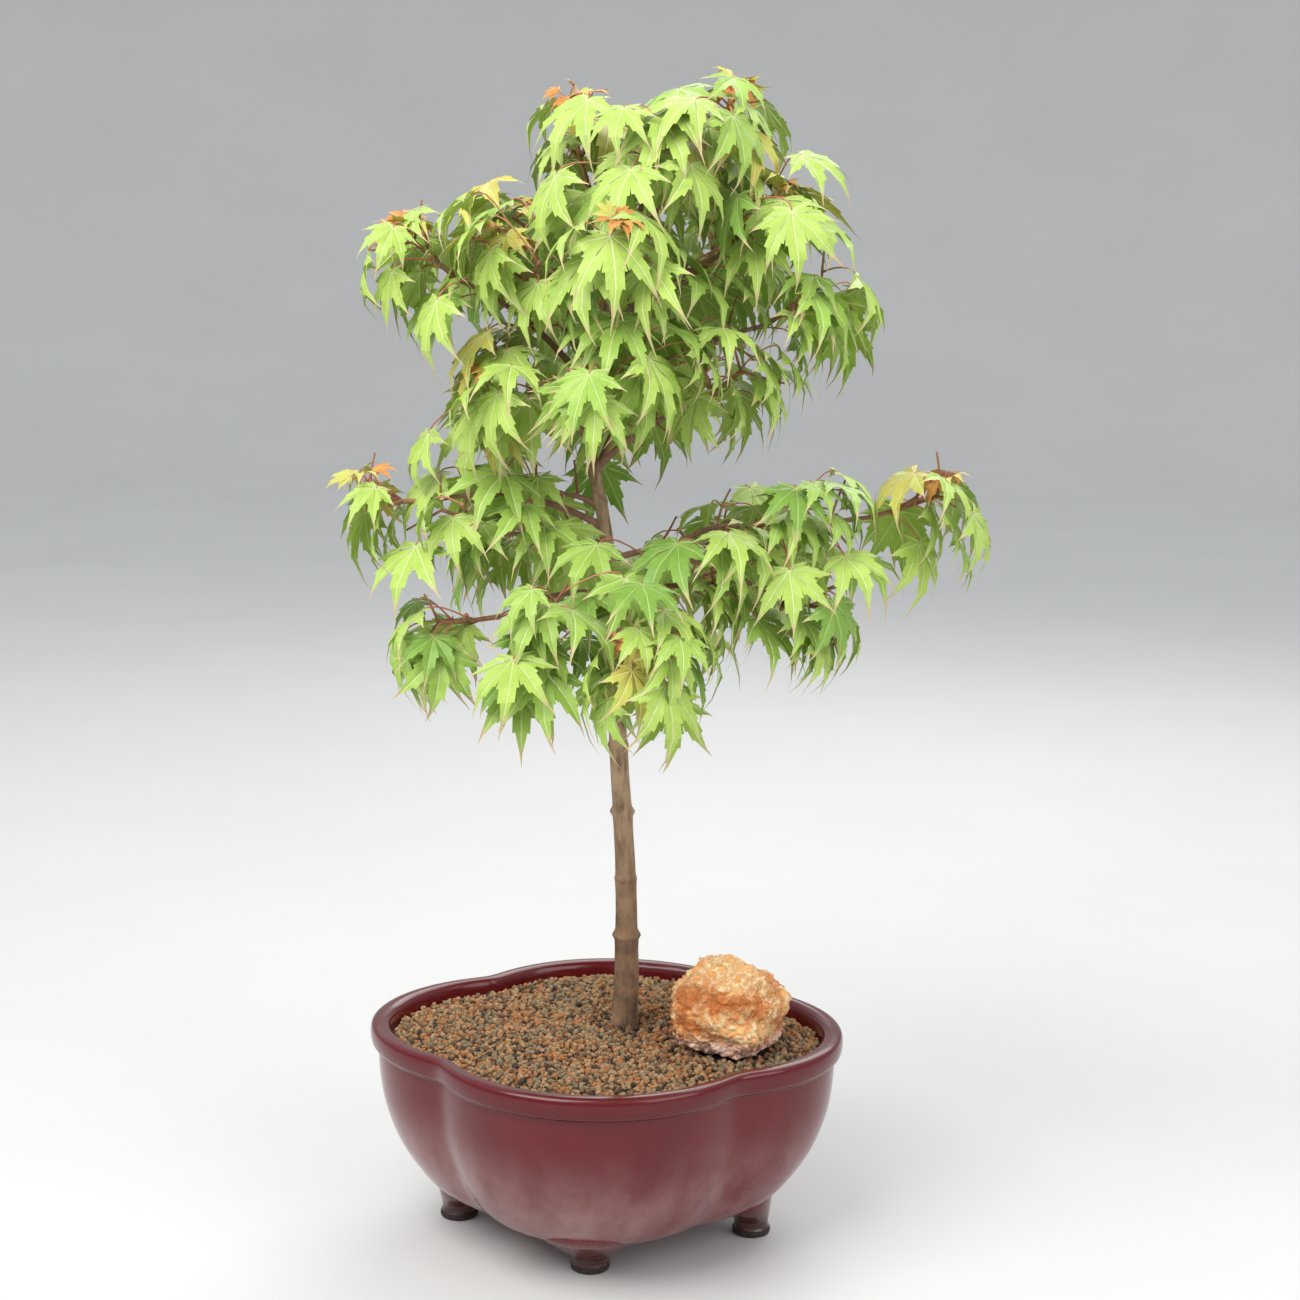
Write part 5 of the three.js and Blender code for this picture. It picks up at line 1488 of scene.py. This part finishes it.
def blades(leaves, dice):
    """All blades of one kind as points. The flat shape is folded up along each midrib, sunk with the
    square of the distance from the joint, waved, and curled at its tails. Then the whole leaf sags
    towards the ground with the 2.5th power of that distance."""
    flat, off, *_ = blade_shape()
    count = len(leaves)
    x, y = flat[None, :, 0], flat[None, :, 1]
    reach = np.hypot(x, y)

    def draw(low, high):
        return dice.uniform(low, high, (count, 1))

    tail = np.maximum(reach - CURL_FROM, 0) ** 2
    lift = -BLADE_DROOP * draw(*DROOP_SHARE) * reach**2 + draw(*FOLD) * off[None] - draw(*CURL) * tail
    waves = WAVE_HEIGHT * np.sin(WAVES_ACROSS * x + draw(*ANY_TURN))
    waves = waves * np.sin(WAVES_ALONG * y + draw(*ANY_TURN))
    lift = lift + waves * np.minimum(reach * 4, 1)
    bend = draw(*TWIST) * np.cos(3 * np.arctan2(x, y) + draw(*ANY_TURN))
    side = x * draw(*WIDTH_SHARE) + draw(*SHEAR) * y * reach + bend * tail
    forward = y * (1 - 0.1 * reach) + JOINT_FORWARD - draw(*TAIL_TUCK) * tail
    axes = np.stack([[leaf[key] for key in ("across", "midrib", "normal")] for leaf in leaves])
    size = np.array([leaf["length"] * leaf.get("share", 1) for leaf in leaves])[:, None, None]
    sag = (draw(*SAG) * reach**2.5)[..., None]
    spread = np.stack([side, forward, lift], -1) @ axes
    hung = (spread * (1 - 0.6 * sag) - sag * UP) * size
    return np.array([leaf["joint"] for leaf in leaves])[:, None] + hung


def blade_piece(kind, leaves, dice):
    """All blades of one kind as a piece, with the places off and along the midribs as its UV map."""
    _, off, along, tris, quads = blade_shape()
    step = (len(off) * np.arange(len(leaves)))[:, None, None]
    made = make_piece(
        "foliage_" + kind,
        "leaves",
        blades(leaves, dice),
        [(tris[None] + step).reshape(-1, 3), (quads[None] + step).reshape(-1, 4)],
        [leaf_material("leaf_" + kind, *LEAF_KINDS[kind])],
    )
    corner_points = np.empty(len(made.data.loops), np.int32)
    made.data.loops.foreach_get("vertex_index", corner_points)
    corner_points %= len(off)
    layer = made.data.uv_layers.new(name="blade")
    layer.uv.foreach_set("vector", np.stack([off, along], -1)[corner_points].ravel().astype(np.float32))
    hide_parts(*mass_nodes)


# ------------------------------------------------------------------------------------------
# Young shoots
# Short red shoots off the ends of the stems, each with a whorl of small bronze or golden leaves.
# The leaves near them are still lime. Those inside the crown, at its back and below are dealt more
# of the deeper green kinds, as painted shade, and the outer ones more lime, as painted light.
# ------------------------------------------------------------------------------------------

YOUNG_SHOOTS = {  # leaves
    "top_left": 6, "top_middle": 7, "top_right": 6, "upper_left": 7, "upper_left_outer": 7,
    "upper_right": 6, "upper_front": 5, "low_front": 6, "far_left": 4, "low_right_far": 4,
    "middle_left": 4, "upper_back_left": 6, "upper_back_right": 5, "middle_back": 5,
    "low_back_right": 5, "low_back_left": 4,
}  # fmt: skip
SHOOT_LENGTH = (4, 9)
SHOOT_LEAN = np.array([0, -0.45, 1.1])
SHOOT_AHEAD = 0.5  # share of the stem's own heading that it keeps
STILL_FRONT = 20.0  # how far back a stem may end whose shoot leans to the front
SHOOT_RADII = np.array([0.6, 0.4])
YOUNG_LENGTH = (9, 21)
YOUNG_STALK = (2, 9)
STALK_TILT, BLADE_TILT = (0.3, 1.6), (-0.9, 1.1)  # towards the shoot's own way, from level
WHORL_WAVER, BLADE_WAVER, SHOOT_WAVER = 0.5, 0.25, 0.6
BRONZE_SHARE = 0.6
YOUNG_WITHIN = 26  # how near a shoot a leaf is still young, and lime
INNER_CROWN = 42  # from the trunk
BACK_OF_CROWN = 40
LOWER_CROWN = 400
# outer leaves get more lime, as painted light; inner, back and lower ones more fresh and green, as painted
# shade
KIND_CHANCES = {  # lime, fresh, green, golden
    "youngest": (0.5, 0, 0, 0.5), "young": (0.88, 0.1, 0, 0.02), "outer": (0.6, 0.34, 0.06, 0),
    "lower": (0.42, 0.46, 0.12, 0), "inner": (0.2, 0.5, 0.3, 0),
}  # fmt: skip


def young_shoot(space, count, dice):
    """A short shoot off the end of a mass's stem, and the small leaves at its tip."""
    stem = space["twigs"][0][0]
    lean = SHOOT_LEAN * np.array([1, np.sign(STILL_FRONT - stem[-1][1]), 1])
    way = unit(unit(stem[-1] - stem[-2]) * SHOOT_AHEAD + lean)
    tip = stem[-1] + way * dice.uniform(*SHOOT_LENGTH)
    leaves = []
    for turn in around(count) + dice.uniform(-WHORL_WAVER, WHORL_WAVER, count):
        level = unit(np.array([math.cos(turn), math.sin(turn), 0]))
        out = unit(level + way * dice.uniform(*STALK_TILT))
        midrib = unit(level + way * dice.uniform(*BLADE_TILT) + dice.normal(0, BLADE_WAVER, 3))
        normal = unit(way - midrib * (way @ midrib) + dice.normal(0, BLADE_WAVER, 3))
        normal = unit(normal - midrib * (normal @ midrib))
        joint = tip + out * dice.uniform(*YOUNG_STALK)
        leaves.append(
            dict(
                root=tip,
                joint=joint,
                way=out,
                midrib=midrib,
                normal=normal,
                across=np.cross(midrib, normal),
                length=dice.uniform(*YOUNG_LENGTH),
                space=space,
            )
        )
    halfway = (stem[-1] + tip) / 2 + dice.normal(0, SHOOT_WAVER, 3)
    return np.array([stem[-1], halfway, tip]), leaves


leaf_dice = np.random.default_rng(77)
shoot_lines, young = [], []
for space in spaces:
    if space["name"] in YOUNG_SHOOTS:
        line, leaves = young_shoot(space, YOUNG_SHOOTS[space["name"]], leaf_dice)
        shoot_lines.append(line)
        young += leaves
sprays = {kind: [] for kind in LEAF_KINDS}
for leaf in young:
    sprays["bronze" if leaf_dice.random() < BRONZE_SHARE else "golden"].append(leaf)
young_places = np.array([line[-1] for line in shoot_lines])
for leaf in all_leaves:
    from_young = np.linalg.norm(young_places - leaf["joint"], axis=1).min()
    off_axis = np.linalg.norm((leaf["middle"] - leaf["space"]["axis"])[:2])
    # painted shade: leaves at the crown's back, below it and near the trunk take deeper kinds
    shaded = leaf["space"]["middle"][1] > BACK_OF_CROWN or leaf["middle"][2] < LOWER_CROWN
    where = "inner" if off_axis < INNER_CROWN else "lower" if shaded else "outer"
    if from_young < YOUNG_WITHIN:
        where = "young" if "share" in leaf else "youngest"
    sprays[("lime", "fresh", "green", "golden")[leaf_dice.choice(4, p=KIND_CHANCES[where])]].append(leaf)
for kind, leaves in sprays.items():
    blade_piece(kind, leaves, leaf_dice)


# ------------------------------------------------------------------------------------------
# Stalks
# Thin leaf stalks, wider where they leave the twig, that rise and then bend down to the blade.
# Their skin is smooth and red, and turns to tan in patches.
# ------------------------------------------------------------------------------------------

STALK_RADII = np.array([0.75, 0.52, 0.46, 0.44, 0.43, 0.44, 0.4])
STALK_ROWS = len(STALK_RADII)
STALK_SIDES = 6
STALK_SHARE = 0.3  # of its length, from each end to where it bends
STALK_RISE = 0.35
hung = all_leaves + young
stalk_keys = ("root", "joint", "way", "midrib")
root, joint, way, midrib = (np.array([leaf[key] for leaf in hung]) for key in stalk_keys)
size = np.linalg.norm(joint - root, axis=1)[:, None]
length = np.array([leaf["length"] for leaf in hung])[:, None]
bends = [
    root,
    root + (way + STALK_RISE * UP) * size * STALK_SHARE,
    joint - midrib * size * STALK_SHARE * 0.6 + 0.1 * size * UP,
    joint + midrib * length * JOINT_FORWARD,
]
t = np.linspace(0, 1, STALK_ROWS)[None, :, None]
p0, p1, p2, p3 = (bend[:, None] for bend in bends)
stalks = (1 - t) ** 3 * p0 + 3 * (1 - t) ** 2 * t * p1 + 3 * (1 - t) * t**2 * p2 + t**3 * p3
thick = STALK_RADII[None] * np.minimum(1, 0.45 + length / 60)
stalk_skins = tube_points(stalks, thick, STALK_SIDES)


def stalk_material():
    """Smooth red skin with soft patches of tan."""
    return simple_finish("red_stalk", 0.45, (0.50, 0.12, 0.10, 1), (0.52, 0.28, 0.12, 1), 60, 0.2)


shoots = np.array([smooth_through(line, STALK_ROWS // 2) for line in shoot_lines])
shoot_radii = np.linspace(*SHOOT_RADII, shoots.shape[1])[None] * np.ones((len(shoots), 1))
shoot_skins = tube_points(shoots, shoot_radii, STALK_SIDES)
shoot_piece = make_piece("young_shoots", "bark", *joined_tubes(shoot_skins), [TWIG_BARK])
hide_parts(*mass_nodes)

stalk_piece = make_piece("leaf_stalks", "leaves", *joined_tubes(stalk_skins), [stalk_material()])
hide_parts(*mass_nodes)


# ------------------------------------------------------------------------------------------
# Setting
# A pale floor, a pale surround, and soft light from large panels: a key from above on the left, a
# weaker one on the right, and one behind that parts the crown from the ground.
# ------------------------------------------------------------------------------------------

FLOOR_RADIUS = 4500
FLOOR_STEPS = 96
SWEEP_RADIUS = 2500  # of the curve in which the floor rises into the surround
SURROUND_HEIGHT = 2600
CAMERA_PLACE = np.array([143.2, -1122.4, 500.8])
CAMERA_AZIMUTH, CAMERA_PITCH, CAMERA_ROLL = 6.2, 9.28, 0.7
CAMERA_LENS = 60.92
CROWN = np.array([30.0, 0.0, 340.0])
PANELS = [  # place, size, power
    ((-700, -900, 1600), 1300, 30),
    ((1300, -900, 1000), 1200, 10),
    ((300, 1300, 1500), 1300, 14),
]


def floor_material():
    """Matt pale plaster with a faint mottle."""
    return simple_finish("pale_floor", 0.7, (0.66, 0.65, 0.63, 1), (0.63, 0.62, 0.60, 1), 3, 0.3)


sweep = np.radians(np.linspace(0, 90, 13))
swept = FLOOR_RADIUS + SWEEP_RADIUS * np.sin(sweep)
out = np.concatenate([[20, 800, 2000], swept, [FLOOR_RADIUS + SWEEP_RADIUS]])
up = np.concatenate([[0, 0, 0], SWEEP_RADIUS * (1 - np.cos(sweep)), [SURROUND_HEIGHT]])
turn = around(FLOOR_STEPS)
bowl = np.stack([out[:, None] * np.cos(turn), out[:, None] * np.sin(turn), up[:, None] + 0 * turn], -1)
floor_mesh = bpy.data.meshes.new("floor")
floor_faces = [tuple(range(FLOOR_STEPS)), *wrapped_quads(len(out), FLOOR_STEPS)[:, ::-1].tolist()]
floor_mesh.from_pydata((bowl.reshape(-1, 3) / 1000).tolist(), [], floor_faces)
floor_mesh.shade_smooth()
floor_mesh.materials.append(floor_material())
floor = scene_object("floor", floor_mesh)

world = bpy.data.worlds.new("surround")
bpy.context.scene.world = world
world.use_nodes = True
sky = world.node_tree.nodes["Background"]
sky.inputs["Color"].default_value = (0.80, 0.84, 0.88, 1)
sky.inputs["Strength"].default_value = 0.9
bpy.context.scene.view_settings.view_transform = "Standard"


def axes_towards(place, target):
    """The turn, as columns, of a lamp that looks from its place at a target."""
    back = unit(place - target)
    right = unit(np.cross(UP, back))
    return np.stack([right, np.cross(back, right), back], 1)


def set_place(thing, columns, place):
    """Puts a lamp or the camera at its place, turned by the columns of a matrix."""
    matrix = np.eye(4)
    matrix[:3, :3] = columns
    matrix[:3, 3] = (place + POT_MIDDLE) / 1000
    thing.matrix_world = Matrix(matrix)


for number, (place, size_mm, power) in enumerate(PANELS):
    lamp = bpy.data.lights.new(f"panel_{number}", "AREA")
    lamp.size, lamp.energy = size_mm / 1000, power
    panel = scene_object(lamp.name, lamp)
    place = np.array(place, float)
    set_place(panel, axes_towards(place, CROWN), place)

azimuth, pitch, roll = np.radians([CAMERA_AZIMUTH, CAMERA_PITCH, CAMERA_ROLL])
ahead = np.array([-np.sin(azimuth) * np.cos(pitch), np.cos(azimuth) * np.cos(pitch), -np.sin(pitch)])
level_right = np.array([np.cos(azimuth), np.sin(azimuth), 0])
level_up = np.cross(level_right, ahead)
right = level_right * np.cos(roll) + level_up * np.sin(roll)
upward = level_up * np.cos(roll) - level_right * np.sin(roll)
lens = bpy.data.cameras.new("camera")
lens.sensor_width, lens.lens = 36, CAMERA_LENS
camera = scene_object("camera", lens)
set_place(camera, np.stack([right, upward, -ahead], 1), CAMERA_PLACE)
bpy.context.scene.camera = camera
